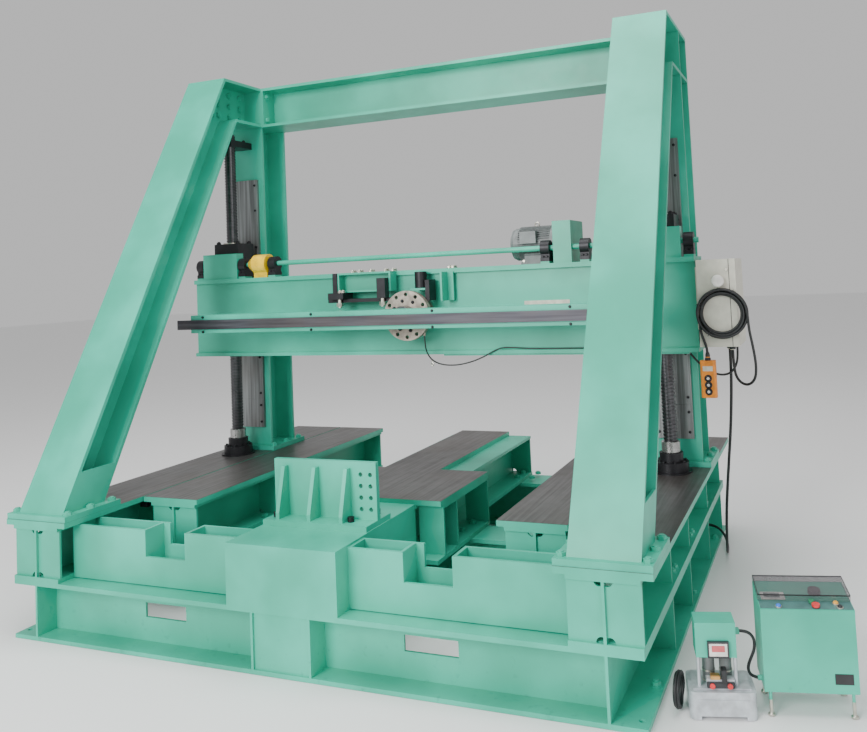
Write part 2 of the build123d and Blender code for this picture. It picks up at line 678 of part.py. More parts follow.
with BuildPart() as crosshead_beam:
    block((-CROSS_HALF_L, CROSS_HALF_L), cross_y, (CROSS_Z[1] - CROSS_TOP_T, CROSS_Z[1]))
    block((-CROSS_HALF_L, CROSS_HALF_L), cross_y, (CROSS_Z[0], CROSS_Z[0] + CROSS_BOTTOM_T))
    for web in CROSS_WEBS:
        block((-CROSS_HALF_L, CROSS_HALF_L), (from_front(web), from_front(web) + CROSS_WEB_T), CROSS_Z)
    for x in (-CROSS_HALF_L, CROSS_HALF_L - CROSS_WEB_T):
        block((x, x + CROSS_WEB_T), (from_front(CROSS_WEBS[0]), from_front(CROSS_WEBS[1])), CROSS_Z)
    block(DOUBLER_X, (cross_y[0] + PAD_T, cross_y[1] - PAD_T), (CROSS_Z[0] - DOUBLER_T, CROSS_Z[0]))
    for x in PILLOWS_X:
        block((x - PILLOW_HALF_L, x + PILLOW_HALF_L), (shaft_y - PILLOW_HALF_D, shaft_y + PILLOW_HALF_D),
              (CROSS_Z[1], PAD_TOP))
    for x in (-SIDE_X, SIDE_X):
        bar((x, SCREW_Y, CROSS_Z[0] - DOUBLER_T - 1), (0, 0, 1), CROSS_Z[1] - CROSS_Z[0] + 2 * DOUBLER_T,
            SCREW_R + SCREW_HOLE_GAP, Mode.SUBTRACT)
    bar((0, cross_y[0], RAM_Z), (0, 1, 0), from_front(RAM_END) - cross_y[0], RAM_BODY_R, Mode.SUBTRACT)
    socket_y = (cross_y[0] + SOCKET_SETBACK, from_front(CROSS_WEBS[0]))
    block(SOCKET_X, socket_y, (CROSS_Z[0] + CROSS_BOTTOM_T, SOCKET_TOP))
hand_in(crosshead_beam.part, "crosshead_beam")

NUT_R = SCREW_R + NUT_WALL
with BuildPart() as nut_housings:
    for sign in (-1, 1):
        x = sign * SIDE_X
        block((x - HOUSING_HALF_L, x + HOUSING_HALF_L), span(HOUSING_FROM_FRONT), (CROSS_Z[1], HOUSING_TOP))
        bar((x, SCREW_Y, CROSS_Z[1]), (0, 0, 1), HOUSING_TOP - CROSS_Z[1], NUT_R + BEARING_GAP,
            Mode.SUBTRACT)
hand_in(nut_housings.part, "nut_housings")

for side, sign in SIDES:
    with BuildPart() as lift_nut:
        bar((sign * SIDE_X, SCREW_Y, CROSS_Z[1]), (0, 0, 1), HOUSING_TOP - CROSS_Z[1] + NUT_PROUD, NUT_R)
        bar((sign * SIDE_X, SCREW_Y, CROSS_Z[1]), (0, 0, 1), HOUSING_TOP - CROSS_Z[1] + NUT_PROUD,
            SCREW_R + NUT_BORE_GAP, Mode.SUBTRACT)
    hand_in(lift_nut.part, f"lift_nut_{side}")

with BuildPart() as worm_boxes:
    for sign in (-1, 1):
        x = sign * SIDE_X
        block((x - WORM_HALF_L, x + WORM_HALF_L), span(WORM_FROM_FRONT), (CROSS_Z[1], WORM_TOP))
        bar((x - WORM_HALF_L, shaft_y, SHAFT_Z), (1, 0, 0), 2 * WORM_HALF_L, SHAFT_R + BEARING_GAP,
            Mode.SUBTRACT)
hand_in(worm_boxes.part, "worm_boxes")

with BuildPart() as shaft_bearings:
    for x in PILLOWS_X:
        ends = (x - PILLOW_HALF_L, x + PILLOW_HALF_L)
        block(ends, (shaft_y - PILLOW_HALF_D, shaft_y + PILLOW_HALF_D), (PAD_TOP, PAD_TOP + PILLOW_FOOT_T))
        block(ends, (shaft_y - PILLOW_NECK_HALF_D, shaft_y + PILLOW_NECK_HALF_D), (PAD_TOP, SHAFT_Z))
        bar((ends[0], shaft_y, SHAFT_Z), (1, 0, 0), 2 * PILLOW_HALF_L, PILLOW_CROWN_R)
        bar((ends[0], shaft_y, SHAFT_Z), (1, 0, 0), 2 * PILLOW_HALF_L, SHAFT_R + BEARING_GAP, Mode.SUBTRACT)
hand_in(shaft_bearings.part, "shaft_bearings")

with BuildPart() as line_shaft:
    bar((SHAFT_X[0], shaft_y, SHAFT_Z), (1, 0, 0), SHAFT_X[1] - SHAFT_X[0], SHAFT_R)
    coupling_x = (GUARD_X[0] + GUARD_X[1]) / 2
    bar((coupling_x - COUPLING_HALF_L, shaft_y, SHAFT_Z), (1, 0, 0), 2 * COUPLING_HALF_L, COUPLING_R)
hand_in(line_shaft.part, "line_shaft")

with BuildPart() as coupling_guard:
    guard_tip = GUARD_X[0] + GUARD_TIP_L
    with BuildSketch(Plane.XY.offset(SHAFT_Z)):
        with BuildLine():
            Polyline((GUARD_X[0], shaft_y), (GUARD_X[0], shaft_y + GUARD_NOSE_R),
                     (guard_tip, shaft_y + GUARD_R), (GUARD_X[1], shaft_y + GUARD_R),
                     (GUARD_X[1], shaft_y), close=True)
        make_face()
    revolve(axis=Axis((GUARD_X[0], shaft_y, SHAFT_Z), (1, 0, 0)))
    guard_l = GUARD_X[1] - GUARD_X[0]
    foot_y = (shaft_y - GUARD_FOOT_HALF_D, shaft_y + GUARD_FOOT_HALF_D)
    block((guard_tip, GUARD_X[1]), foot_y, (CROSS_Z[1], SHAFT_Z - GUARD_R + GUARD_FOOT_LAP))
    bar((GUARD_X[0] + GUARD_WALL_L[0], shaft_y, SHAFT_Z), (1, 0, 0), guard_l - sum(GUARD_WALL_L),
        GUARD_BORE_R, Mode.SUBTRACT)
    bar((GUARD_X[0] - 1, shaft_y, SHAFT_Z), (1, 0, 0), guard_l + 2, SHAFT_R + GUARD_SHAFT_GAP, Mode.SUBTRACT)
hand_in(coupling_guard.part, "coupling_guard")

with BuildPart() as drive_box:
    block(DRIVE_BOX_X, span(DRIVE_BOX_FROM_FRONT), (CROSS_Z[1], DRIVE_BOX_TOP))
    bar((DRIVE_BOX_X[0], shaft_y, SHAFT_Z), (1, 0, 0), DRIVE_BOX_X[1] - DRIVE_BOX_X[0],
        SHAFT_R + BEARING_GAP, Mode.SUBTRACT)
hand_in(drive_box.part, "drive_box")

with BuildPart() as lift_motor:
    motor_y = from_front(MOTOR_FROM_FRONT)
    bar((MOTOR_X[0], motor_y, MOTOR_Z), (1, 0, 0), MOTOR_X[1] - MOTOR_X[0], MOTOR_R)
    bar((MOTOR_X[0] - MOTOR_COWL_L, motor_y, MOTOR_Z), (1, 0, 0), MOTOR_COWL_L, MOTOR_R - MOTOR_FLANGE_STEP)
    bar((DRIVE_BOX_X[0] - MOTOR_FLANGE_T, motor_y, MOTOR_Z), (1, 0, 0), MOTOR_FLANGE_T,
        MOTOR_R + MOTOR_FLANGE_STEP)
    foot_x = (MOTOR_X[0] + MOTOR_FOOT_X[0], MOTOR_X[1] - MOTOR_FOOT_X[1])
    leg_x = (MOTOR_X[0] + MOTOR_LEG_X[0], MOTOR_X[1] - MOTOR_LEG_X[1])
    terminal_x = (MOTOR_X[0] + TERMINAL_X[0], MOTOR_X[0] + TERMINAL_X[1])
    foot_y = (motor_y - MOTOR_FOOT_HALF_D, motor_y + MOTOR_FOOT_HALF_D)
    block(foot_x, foot_y, (CROSS_Z[1], CROSS_Z[1] + MOTOR_FOOT_T))
    for near, far in MOTOR_LEGS:
        block(leg_x, (motor_y + near, motor_y + far), (CROSS_Z[1], MOTOR_Z - MOTOR_LEG_UNDER))
    block(terminal_x, (motor_y + TERMINAL_Y[0], motor_y + TERMINAL_Y[1]), (MOTOR_Z, MOTOR_Z + TERMINAL_H))
hand_in(lift_motor.part, "lift_motor")

# ================= ram and loading beam =================

ram_front, ram_flange_back = span(RAM_FLANGE_FROM_FRONT)
ram_end = from_front(RAM_END)
gland_back = from_front(RAM_GLAND)
with BuildPart() as ram_cylinder:
    bar((0, ram_front, RAM_Z), (0, 1, 0), ram_flange_back - ram_front, RAM_FLANGE_R)
    bar((0, ram_front, RAM_Z), (0, 1, 0), ram_end - ram_front, RAM_BODY_R)
    bar((0, gland_back, RAM_Z), (0, 1, 0), ram_end - gland_back - RAM_CAP_T, RAM_BORE_R + BEARING_GAP,
        Mode.SUBTRACT)
    bar((0, ram_front, RAM_Z), (0, 1, 0), gland_back - ram_front, ROD_R + BEARING_GAP, Mode.SUBTRACT)
    with Locations(Plane(origin=(0, ram_front, RAM_Z), z_dir=(0, -1, 0))):
        with PolarLocations(FLANGE_HOLE_PCD_R, FLANGE_HOLES):
            Hole(FLANGE_HOLE_R, ram_flange_back - ram_front)
    bar((SENSOR_X, (ram_front + ram_flange_back) / 2, SENSOR_Z), (0, 0, 1), SENSOR_GLAND_L,
        SENSOR_GLAND_R)
hand_in(ram_cylinder.part, "ram_cylinder")

bar_front, bar_back = span(LOAD_BAR_FROM_FRONT)
with BuildPart() as ram_rod:
    bar((0, bar_back, RAM_Z), (0, 1, 0), from_front(PISTON_FROM_FRONT) - bar_back, ROD_R)
    bar((0, from_front(PISTON_FROM_FRONT), RAM_Z), (0, 1, 0), PISTON_T, RAM_BORE_R)
hand_in(ram_rod.part, "ram_rod")

with BuildPart() as loading_beam:
    block((-LOAD_BAR_HALF_L, LOAD_BAR_HALF_L), (bar_front, bar_back), LOAD_BAR_Z)
hand_in(loading_beam.part, "loading_beam")

with BuildPart() as loading_strip:
    block((-LOAD_STRIP_HALF_L, LOAD_STRIP_HALF_L), (bar_front - LOAD_STRIP_T, bar_front), LOAD_STRIP_Z)
hand_in(loading_strip.part, "loading_strip")

# brackets over the ram, welded and bolted to the front web and flange of the crosshead
flange_front = cross_y[0]
channel_y = (from_front(CHANNEL_FROM_FRONT), flange_front)
behind_disc = (from_front(BEHIND_DISC), flange_front)
with BuildPart() as ram_bracket:
    for z in ((CHANNEL_Z[0], CHANNEL_Z[0] + STIFF_T), (CHANNEL_Z[1] - STIFF_T, CHANNEL_Z[1])):
        block(CHANNEL_X, channel_y, z)
    block(CHANNEL_X, (flange_front - STIFF_T, flange_front), CHANNEL_Z)
    for x in (CHANNEL_X[0], CHANNEL_X[1] - STIFF_T):
        block((x, x + STIFF_T), channel_y, CHANNEL_Z)
    block((SHELF_START, PLATE_X[0]), behind_disc, (SHELF_TOP - STIFF_T, SHELF_TOP))
    block((ANGLE_X[0], ANGLE_X[0] + STIFF_T), behind_disc, ANGLE_Z)
    block(ANGLE_X, (flange_front - STIFF_T, flange_front), ANGLE_Z)
hand_in(ram_bracket.part, "ram_bracket")

with BuildPart() as ram_fittings:
    block(RAIL_X, (behind_disc[0], behind_disc[0] + RAIL_D), (CLAMP_Z[0] - RAIL_T, CLAMP_Z[0]))
    block(CLAMP_X, (from_front(CLAMP_FROM_FRONT), flange_front - CLAMP_GAP), CLAMP_Z)
    block((CLAMP_X[0], CHANNEL_X[0] - CHEEK_GAP), channel_y, CHANNEL_Z)
    block(LEVER_X, (from_front(LEVER_FROM_FRONT), channel_y[0]), (CLAMP_Z[0], LEVER_TOP))
    block(PLATE_X, behind_disc, PLATE_Z)
    bar((CYLINDER_AT[0], from_front(CYLINDER_AT[1]), SHELF_TOP), (0, 0, 1), CYLINDER_H, CYLINDER_R)
hand_in(ram_fittings.part, "ram_fittings")

# ================= bolts =================

with BuildPart(mode=Mode.PRIVATE) as hex_up:
    with BuildSketch():
        RegularPolygon(HEX_R, 6)
    extrude(amount=HEAD_H)
    bar((0, 0, HEAD_H), (0, 0, 1), THREAD_OUT, BOLT_R)

with BuildPart() as frame_bolts:
    bolt_out = HALF_W + FOOT_MARGIN / 2
    for sign in (-1, 1):
        x = sign * SIDE_X
        spots = [(x + dx, from_front(y), FOOT_TOP) for dx in (-bolt_out, bolt_out)
                 for y in FOOT_BOLTS]
        with Locations(*spots):
            add(hex_up.part)
        # splice bolts between brace and head, on both faces of the web
        for face in (-1, 1):
            for distance in SPLICE_BOLTS[0]:
                for z in SPLICE_BOLTS[1]:
                    spot = (x + face * WEB_H, from_front(distance), z)
                    with Locations(Plane(origin=spot, z_dir=(face, 0, 0))):
                        add(hex_up.part)
        # end plates of the top crossbeam
        inner = sign * (INNER_SIDE_X - CROSSBEAM_END_T)
        for y in END_PLATE_BOLTS[0]:
            for z in END_PLATE_BOLTS[1]:
                with Locations(Plane(origin=(inner, from_front(y), z), z_dir=(-sign, 0, 0))):
                    add(hex_up.part)
    # clamping bolts between the tiers
    with Locations(*[(x, from_front(y), LOWER_H + FLANGE_T) for x in TIER_BOLTS_X for y in TIER_BOLTS]):
        add(hex_up.part)
hand_in(frame_bolts.part, "frame_bolts")

with BuildPart() as bracket_screws:
    spots = [(x, CAP_SCREWS_BACK) for x in CAP_SCREWS_X] + [(x, CAP_SCREWS_FRONT) for x in CAP_SCREWS_X[:2]]
    for x, distance in spots:
        bar((x, from_front(distance), NOSE_TOP + BRACKET_BASE_T), (0, 0, 1), CAP_SCREW[1], CAP_SCREW[0])
    clamp_z = (UPPER_TOP - JOINT_CLAMP_UNDER[0], UPPER_TOP - JOINT_CLAMP_UNDER[1])
    block(JOINT_CLAMP_X, span(JOINT_CLAMP), clamp_z)
hand_in(bracket_screws.part, "bracket_screws")

# ================= cabinet and pendant =================

cab_front, cab_back = span(CABINET_FROM_FRONT)
door_y = (cab_front - HINGE_GAP - DOOR_T, cab_front - HINGE_GAP)
CORD_EXITS = ((1844, 1600), (1866, 1530))
with BuildPart() as cabinet_shell:
    block(CABINET_X, (cab_front, cab_back), CABINET_Z)
    block((CABINET_X[0] + CABINET_T, CABINET_X[1] - CABINET_T), (cab_front, cab_back - CABINET_T),
          (CABINET_Z[0] + CABINET_T, CABINET_Z[1] - CABINET_T), Mode.SUBTRACT)
    block((DOOR_X[1] + DOOR_GAP, CABINET_X[1]), (door_y[0] + FILLER_SETBACK, cab_front + CABINET_T),
          CABINET_Z)
    block((CROSS_HALF_L, CABINET_X[0]), span(HANGER_FROM_FRONT), HANGER_Z)
    for x, distance in CORD_EXITS:
        bar((x, from_front(distance), CABINET_Z[0] - GLAND_H), (0, 0, 1), GLAND_H, GLAND_R)
hand_in(cabinet_shell.part, "cabinet_shell")

with BuildPart() as cabinet_door:
    block(DOOR_X, door_y, CABINET_Z)
    neck_front = door_y[0] - KNOB_NECK[1]
    bar((KNOB_X, neck_front, KNOB_Z), (0, 1, 0), KNOB_NECK[1], KNOB_NECK[0])
    bar((KNOB_X, neck_front - KNOB_HEAD_L, KNOB_Z), (0, 1, 0), KNOB_HEAD_L, KNOB_R)
hand_in(cabinet_door.part, "cabinet_door")

coil_y = door_y[0] - COIL_SECTION_R - 1
with BuildPart() as cable_coil:
    with BuildSketch(Plane(origin=(COIL_X, coil_y, COIL_Z), x_dir=(1, 0, 0), z_dir=(0, 0, 1))):
        with Locations((COIL_R, 0)):
            Circle(COIL_SECTION_R)
    revolve(axis=Axis((COIL_X, coil_y, COIL_Z), (0, 1, 0)))
hand_in(cable_coil.part, "cable_coil")

pendant_y = (from_front(PENDANT_FROM_FRONT), from_front(PENDANT_FROM_FRONT) + PENDANT_D)
with BuildPart() as pendant_body:
    block((PENDANT_X - PENDANT_W / 2, PENDANT_X + PENDANT_W / 2), pendant_y, PENDANT_Z)
    fillet(pendant_body.edges().filter_by(Axis.Z), PENDANT_CORNER_R)
    bar((PENDANT_X, pendant_y[0] + PENDANT_D / 2, PENDANT_Z[1]), (0, 0, 1), SLEEVE[1], SLEEVE[0])
    for _, z in PENDANT_BUTTONS:
        bar((PENDANT_X, pendant_y[0], z), (0, 1, 0), BUTTON_IN + BUTTON_TRAVEL + 1, BUTTON_R + BUTTON_GAP,
            Mode.SUBTRACT)
hand_in(pendant_body.part, "pendant_body")

for name, z in PENDANT_BUTTONS:
    with BuildPart() as pendant_button:
        bar((PENDANT_X, pendant_y[0] - BUTTON_OUT, z), (0, 1, 0), BUTTON_OUT + BUTTON_IN, BUTTON_R)
        chamfer(pendant_button.edges().filter_by(GeomType.CIRCLE).sort_by(Axis.Y)[0], BUTTON_CHAMFER)
    hand_in(pendant_button.part, f"pendant_{name}_button")

# ================= cords =================

ARC_SHARE = 0.45          # share of the shorter run that each tangent arc takes


def cord(points, diameter, name):
    """A cord's tube along straight runs with tangent arcs, and its section as a sketch swept along them."""
    places = [Vector(*point) for point in points]
    runs = [b - a for a, b in zip(places, places[1:])]
    radii = []
    for before, after in zip(runs, runs[1:]):
        half_turn = radians(before.get_angle(after)) / 2
        radii.append(ARC_SHARE * min(before.length, after.length) / tan(half_turn))
    print(name, "radii / diameter:", [round(r / diameter, 1) for r in radii])
    print(name, "runs:", [round(r.length) for r in runs])
    with BuildPart() as tube:
        with BuildLine() as path:
            FilletPolyline(*places, radius=radii)
        with BuildSketch(Plane(origin=path.line @ 0, z_dir=path.line % 0)):
            Circle(diameter / 2)
        sweep()
    ideal = pi * diameter ** 2 / 4 * path.wire().length
    print(name, "volume share:", round(tube.part.volume / ideal, 4), "length:", round(path.wire().length))
    return tube.part


hand_in(cord(SUPPLY_ROUTE, SUPPLY_D, "supply_cable"), "supply_cable")

PENDANT_LOOP = cord_points(
    (1866, 1530, 1286), (1866, 1530, 1236), (1869, 1527, 1186), (1876, 1521, 1145), (1898, 1502, 1116),
    (1929, 1475, 1105), (1959, 1449, 1116), (1981, 1430, 1145), (1989, 1423, 1186), (1989, 1417, 1242),
    (1979, 1411, 1325), (1966, 1409, 1405), (1954, 1413, 1487))
PENDANT_DROP = cord_points(
    (1711, 1413, 1487), (1714, 1415, 1425), (1723, 1419, 1372), (1738, 1426, 1326), (1744, 1432, 1292),
    (1744, 1432, 1260))
with BuildPart() as pendant_cable:
    add(cord(PENDANT_LOOP, PENDANT_CORD_D, "pendant_loop"))
    add(cord(PENDANT_DROP, PENDANT_CORD_D, "pendant_drop"))
hand_in(pendant_cable.part, "pendant_cable")

SENSOR_ROUTE = cord_points(
    (106, 1365, 1404), (106, 1365, 1352), (108, 1384, 1298), (128, 1412, 1250), (180, 1436, 1222),
    (262, 1452, 1216), (352, 1461, 1232), (436, 1466, 1262), (500, 1468.5, 1296), (556, 1473, 1318),
    (622, 1486, 1316), (705, 1491, 1309), (812, 1492, 1307.5), (918, 1491.5, 1307.5), (1020, 1491, 1308),
    (1120, 1490, 1309))
hand_in(cord(SENSOR_ROUTE, SENSOR_D, "sensor_cable"), "sensor_cable")

# ================= console =================


def turned_plane(at, turn):
    """The level plane of a free-standing unit, at its front left corner and turned about Z."""
    angle = radians(turn)
    return Plane(origin=(at[0], from_front(at[1]), 0), x_dir=(cos(angle), sin(angle), 0), z_dir=(0, 0, 1))


console = turned_plane(CONSOLE_AT, CONSOLE_TURN)
console_side = Plane(origin=console.origin, x_dir=console.y_dir, z_dir=console.x_dir)
SLOPE = atan2(CONSOLE_BACK_Z - CONSOLE_Z[1], CONSOLE_DEPTH)
slope_origin = console.from_local_coords((0, 0, CONSOLE_Z[1]))
slope_normal = console.y_dir * -sin(SLOPE) + Vector(0, 0, 1) * cos(SLOPE)
console_top = Plane(origin=slope_origin, x_dir=console.x_dir, z_dir=slope_normal)
SLOPE_L = CONSOLE_DEPTH / cos(SLOPE)
STEM_HOLES = ((STOP_AT, STEM_R), (START_AT, STEM_R), (DIAL_AT, DIAL_STEM_R))

with BuildPart() as console_case:
    with BuildSketch(console_side):
        with BuildLine():
            Polyline((0, CONSOLE_Z[0]), (0, CONSOLE_Z[1]), (CONSOLE_DEPTH, CONSOLE_BACK_Z),
                     (CONSOLE_DEPTH, CONSOLE_Z[0]), close=True)
        make_face()
    extrude(amount=CONSOLE_W)
    with Locations(console.location):
        block((CONSOLE_T, CONSOLE_W - CONSOLE_T), (CONSOLE_T, CONSOLE_DEPTH - CONSOLE_T),
              (CONSOLE_Z[0] + CONSOLE_T, CONSOLE_Z[1] - PANEL_DROP), Mode.SUBTRACT)
        for x in (LEG_INSET[0], CONSOLE_W - LEG_INSET[0]):
            for y in (LEG_INSET[1], CONSOLE_DEPTH - LEG_INSET[1]):
                bar((x, y, 0), (0, 0, 1), CONSOLE_Z[0] + CONSOLE_T, CONSOLE_LEG_R)
    with Locations(console_top.location):
        for spot, radius in STEM_HOLES:
            bar((spot[0], spot[1], -STEM_DEPTH), (0, 0, 1), STEM_DEPTH + 1, radius + BUTTON_GAP,
                Mode.SUBTRACT)
    bar(HOSE_ROUTE_END, console.x_dir, HOSE_GLAND_L, HOSE_GLAND_R)
hand_in(console_case.part, "console_case")

with BuildPart() as console_lid:
    with Locations(console_top.location):
        block((0, CONSOLE_W), (LID_START, SLOPE_L), (LID_GAP, LID_H))
        block((LID_T, CONSOLE_W - LID_T), (LID_START + LID_T, SLOPE_L - LID_T), (LID_GAP, LID_H - LID_T),
              Mode.SUBTRACT)
hand_in(console_lid.part, "console_lid")

for name, spot, cap_r in (("stop", STOP_AT, STOP_R), ("start", START_AT, START_R)):
    with BuildPart() as push_button:
        with Locations(console_top.location):
            bar((spot[0], spot[1], BUTTON_TRAVEL + 1), (0, 0, 1), CAP_H, cap_r)
            bar((spot[0], spot[1], BUTTON_TRAVEL - STEM_DEPTH + 1), (0, 0, 1), STEM_DEPTH, STEM_R)
    hand_in(push_button.part, f"console_{name}_button")

with BuildPart() as console_dial:
    with Locations(console_top.location):
        bar((DIAL_AT[0], DIAL_AT[1], LID_GAP), (0, 0, 1), DIAL_H, DIAL_R)
        bar((DIAL_AT[0], DIAL_AT[1], LID_GAP - STEM_DEPTH / 2), (0, 0, 1), STEM_DEPTH / 2, DIAL_STEM_R)
hand_in(console_dial.part, "console_dial")

# ================= power pack =================

pump = turned_plane(PUMP_AT, PUMP_TURN)

with BuildPart() as pump_tank:
    with Locations(pump.location):
        block((0, TANK_W), (0, TANK_D), (0, TANK_H))
    fillet(pump_tank.edges().filter_by(Axis.Z), TANK_FILLET)
    with Locations(pump.location):
        block((TANK_FOOT, TANK_W - TANK_FOOT), (-1, TANK_D + 1), (0, TANK_ARCH_H), Mode.SUBTRACT)
        for x in (COVER_X[0] + POST_R, COVER_X[1] - POST_R):
            bar((x, COVER_Y[0] + POST_R, TANK_H), (0, 0, 1), COVER_Z[0] - TANK_H, POST_R)
        block(MANIFOLD_X, MANIFOLD_Y, (TANK_H, MANIFOLD_TOP))
        for x in KNOBS_X:
            bar((x, MANIFOLD_Y[0], KNOB_AXIS_Z), (0, 1, 0), KNOB_STEM_L, KNOB_STEM_R + BUTTON_GAP,
                Mode.SUBTRACT)
hand_in(pump_tank.part, "pump_tank")

with BuildPart() as pump_motor:
    with Locations(pump.location):
        for x in PUMP_MOTORS_X:
            bar((x, PUMP_MOTORS_Y, TANK_H), (0, 0, 1), COVER_Z[0] - COVER_T - TANK_H, PUMP_MOTOR_R)
hand_in(pump_motor.part, "pump_motor")

with BuildPart() as pump_cover:
    with Locations(pump.location):
        block(COVER_X, COVER_Y, COVER_Z)
        block((COVER_X[0] + COVER_T, COVER_X[1] - COVER_T), (COVER_Y[0] + COVER_T, COVER_Y[1] - COVER_T),
              (COVER_Z[0] + COVER_T, COVER_Z[1] - COVER_T), Mode.SUBTRACT)
        block((COVER_X[1], COVER_X[1] + HOSE_GLAND_L), HOSE_BOSS_Y, HOSE_BOSS_Z)
hand_in(pump_cover.part, "pump_cover")

with BuildPart() as pump_meter:
    with Locations(pump.location):
        block(METER_X, (COVER_Y[0] - METER_T, COVER_Y[0]), METER_Z)
hand_in(pump_meter.part, "pump_meter")

for number, x in enumerate(KNOBS_X, start=1):
    with BuildPart() as pump_knob:
        with Locations(pump.location):
            bar((x, MANIFOLD_Y[0] - KNOB_L - 1, KNOB_AXIS_Z), (0, 1, 0), KNOB_L, KNOB_CAP_R)
            bar((x, MANIFOLD_Y[0] - 1, KNOB_AXIS_Z), (0, 1, 0), KNOB_STEM_L - 2, KNOB_STEM_R)
    hand_in(pump_knob.part, f"pump_knob_{number}")

with BuildPart() as pump_coil:
    coil_place = Plane(origin=pump.from_local_coords(PUMP_COIL_AT),
                       x_dir=pump.y_dir, z_dir=pump.x_dir.rotate(Axis.Z, PUMP_COIL_TURN))
    with BuildSketch(Plane(origin=coil_place.origin, x_dir=coil_place.x_dir, z_dir=coil_place.y_dir)):
        with Locations((PUMP_COIL_R, 0)):
            Circle(PUMP_COIL_SECTION_R)
    revolve(axis=Axis(coil_place.origin, coil_place.z_dir))
hand_in(pump_coil.part, "pump_coil")

hand_in(cord(HOSE_ROUTE, HOSE_D, "pump_hose"), "pump_hose")
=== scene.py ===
import json
from math import atan2, cos, pi, radians, sin

import bmesh
import bpy
from mathutils import Matrix, Vector


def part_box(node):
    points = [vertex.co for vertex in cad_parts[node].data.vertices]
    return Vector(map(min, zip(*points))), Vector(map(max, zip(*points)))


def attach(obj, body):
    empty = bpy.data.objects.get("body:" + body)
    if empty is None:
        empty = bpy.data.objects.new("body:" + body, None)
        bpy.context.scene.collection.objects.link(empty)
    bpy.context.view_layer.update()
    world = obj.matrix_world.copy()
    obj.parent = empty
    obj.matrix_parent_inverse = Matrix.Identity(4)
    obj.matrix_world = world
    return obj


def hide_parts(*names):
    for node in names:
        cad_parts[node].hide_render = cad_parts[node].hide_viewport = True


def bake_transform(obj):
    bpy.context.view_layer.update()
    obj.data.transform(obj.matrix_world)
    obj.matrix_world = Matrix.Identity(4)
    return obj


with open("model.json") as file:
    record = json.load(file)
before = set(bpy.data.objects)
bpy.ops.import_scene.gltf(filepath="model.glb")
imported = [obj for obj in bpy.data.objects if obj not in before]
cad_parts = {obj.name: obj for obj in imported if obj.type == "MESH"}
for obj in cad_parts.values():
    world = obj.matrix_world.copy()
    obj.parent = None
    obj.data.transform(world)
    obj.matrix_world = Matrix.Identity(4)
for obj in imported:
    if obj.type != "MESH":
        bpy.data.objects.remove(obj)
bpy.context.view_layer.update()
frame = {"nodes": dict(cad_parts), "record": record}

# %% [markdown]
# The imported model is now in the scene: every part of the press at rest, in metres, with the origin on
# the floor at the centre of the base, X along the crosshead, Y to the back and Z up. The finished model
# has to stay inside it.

MM = 0.001
SCREW_SIDES = (-1485, 1485)       # across, in millimetres: the two lift screws
EDGE_SIDES = (-1600, 1600)        # across, in millimetres: the base's outer bolt rows
TIER_BACKS = (840, 900, 1400, 1460, 1980, 2040)
BASE_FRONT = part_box("lower_frame")[0].y


def at(x, back, z):
    """A place from millimetres: across, back from the base's front edge, and up from the floor."""
    return Vector((x * MM, BASE_FRONT + back * MM, z * MM))


# %% [markdown]
# The press is seen from the front right, at the height of a tall person's eyes. A camera looks along
# its own -Z, so its turn is built from a yaw about Z, a tilt and a slight roll. The lens is a moderate
# wide angle, shifted so that the press fills the frame.

# %% Camera
CAMERA_PLACE = at(2365, -3263, 1760)
YAW, TILT, ROLL = radians(21.48), radians(93.08), radians(-2.65)
LENS, SENSOR = 35.47, 36.0
SHIFT_X, SHIFT_Y = -0.0626, -0.1604

camera = bpy.data.objects.new("camera", bpy.data.cameras.new("camera"))
bpy.context.collection.objects.link(camera)
turn = Matrix.Rotation(YAW, 4, "Z") @ Matrix.Rotation(TILT, 4, "X") @ Matrix.Rotation(ROLL, 4, "Z")
camera.matrix_world = Matrix.Translation(CAMERA_PLACE) @ turn
camera.data.lens = LENS
camera.data.sensor_width = SENSOR
camera.data.shift_x = SHIFT_X
camera.data.shift_y = SHIFT_Y
camera.data.clip_end = 100
bpy.context.scene.camera = camera
print("camera", [round(value, 3) for value in camera.location])

# %% [markdown]
# Cords come next, because they settle how far the model spreads. Each one is a NURBS spline through
# the air: its control points are given and the curve passes smoothly near them. The order is
# set after the points exist, otherwise the curve falls back to straight runs.

# %% A spline from a list of points
def cord_line(name, points, diameter, resolution=10):
    """A round cord along a NURBS spline, as a curve object."""
    curve = bpy.data.curves.new(name, "CURVE")
    curve.dimensions = "3D"
    spline = curve.splines.new("NURBS")
    spline.points.add(len(points) - 1)
    for place, point in zip(points, spline.points):
        point.co = (*place, 1.0)
    spline.order_u = 3
    spline.use_endpoint_u = True
    spline.resolution_u = resolution
    curve.bevel_depth = diameter / 2
    curve.bevel_resolution = 3
    curve.use_fill_caps = True
    cord = bpy.data.objects.new(name, curve)
    bpy.context.collection.objects.link(cord)
    return cord


def centre_line(cord):
    """The points that a cord's own line passes through, and their length."""
    depth = cord.data.bevel_depth
    cord.data.bevel_depth = 0
    bpy.context.view_layer.update()
    evaluated = cord.evaluated_get(bpy.context.evaluated_depsgraph_get())
    line = bpy.data.meshes.new_from_object(evaluated)
    places = [vertex.co.copy() for vertex in line.vertices]
    bpy.data.meshes.remove(line)
    cord.data.bevel_depth = depth
    length = sum((b - a).length for a, b in zip(places, places[1:]))
    return places, length


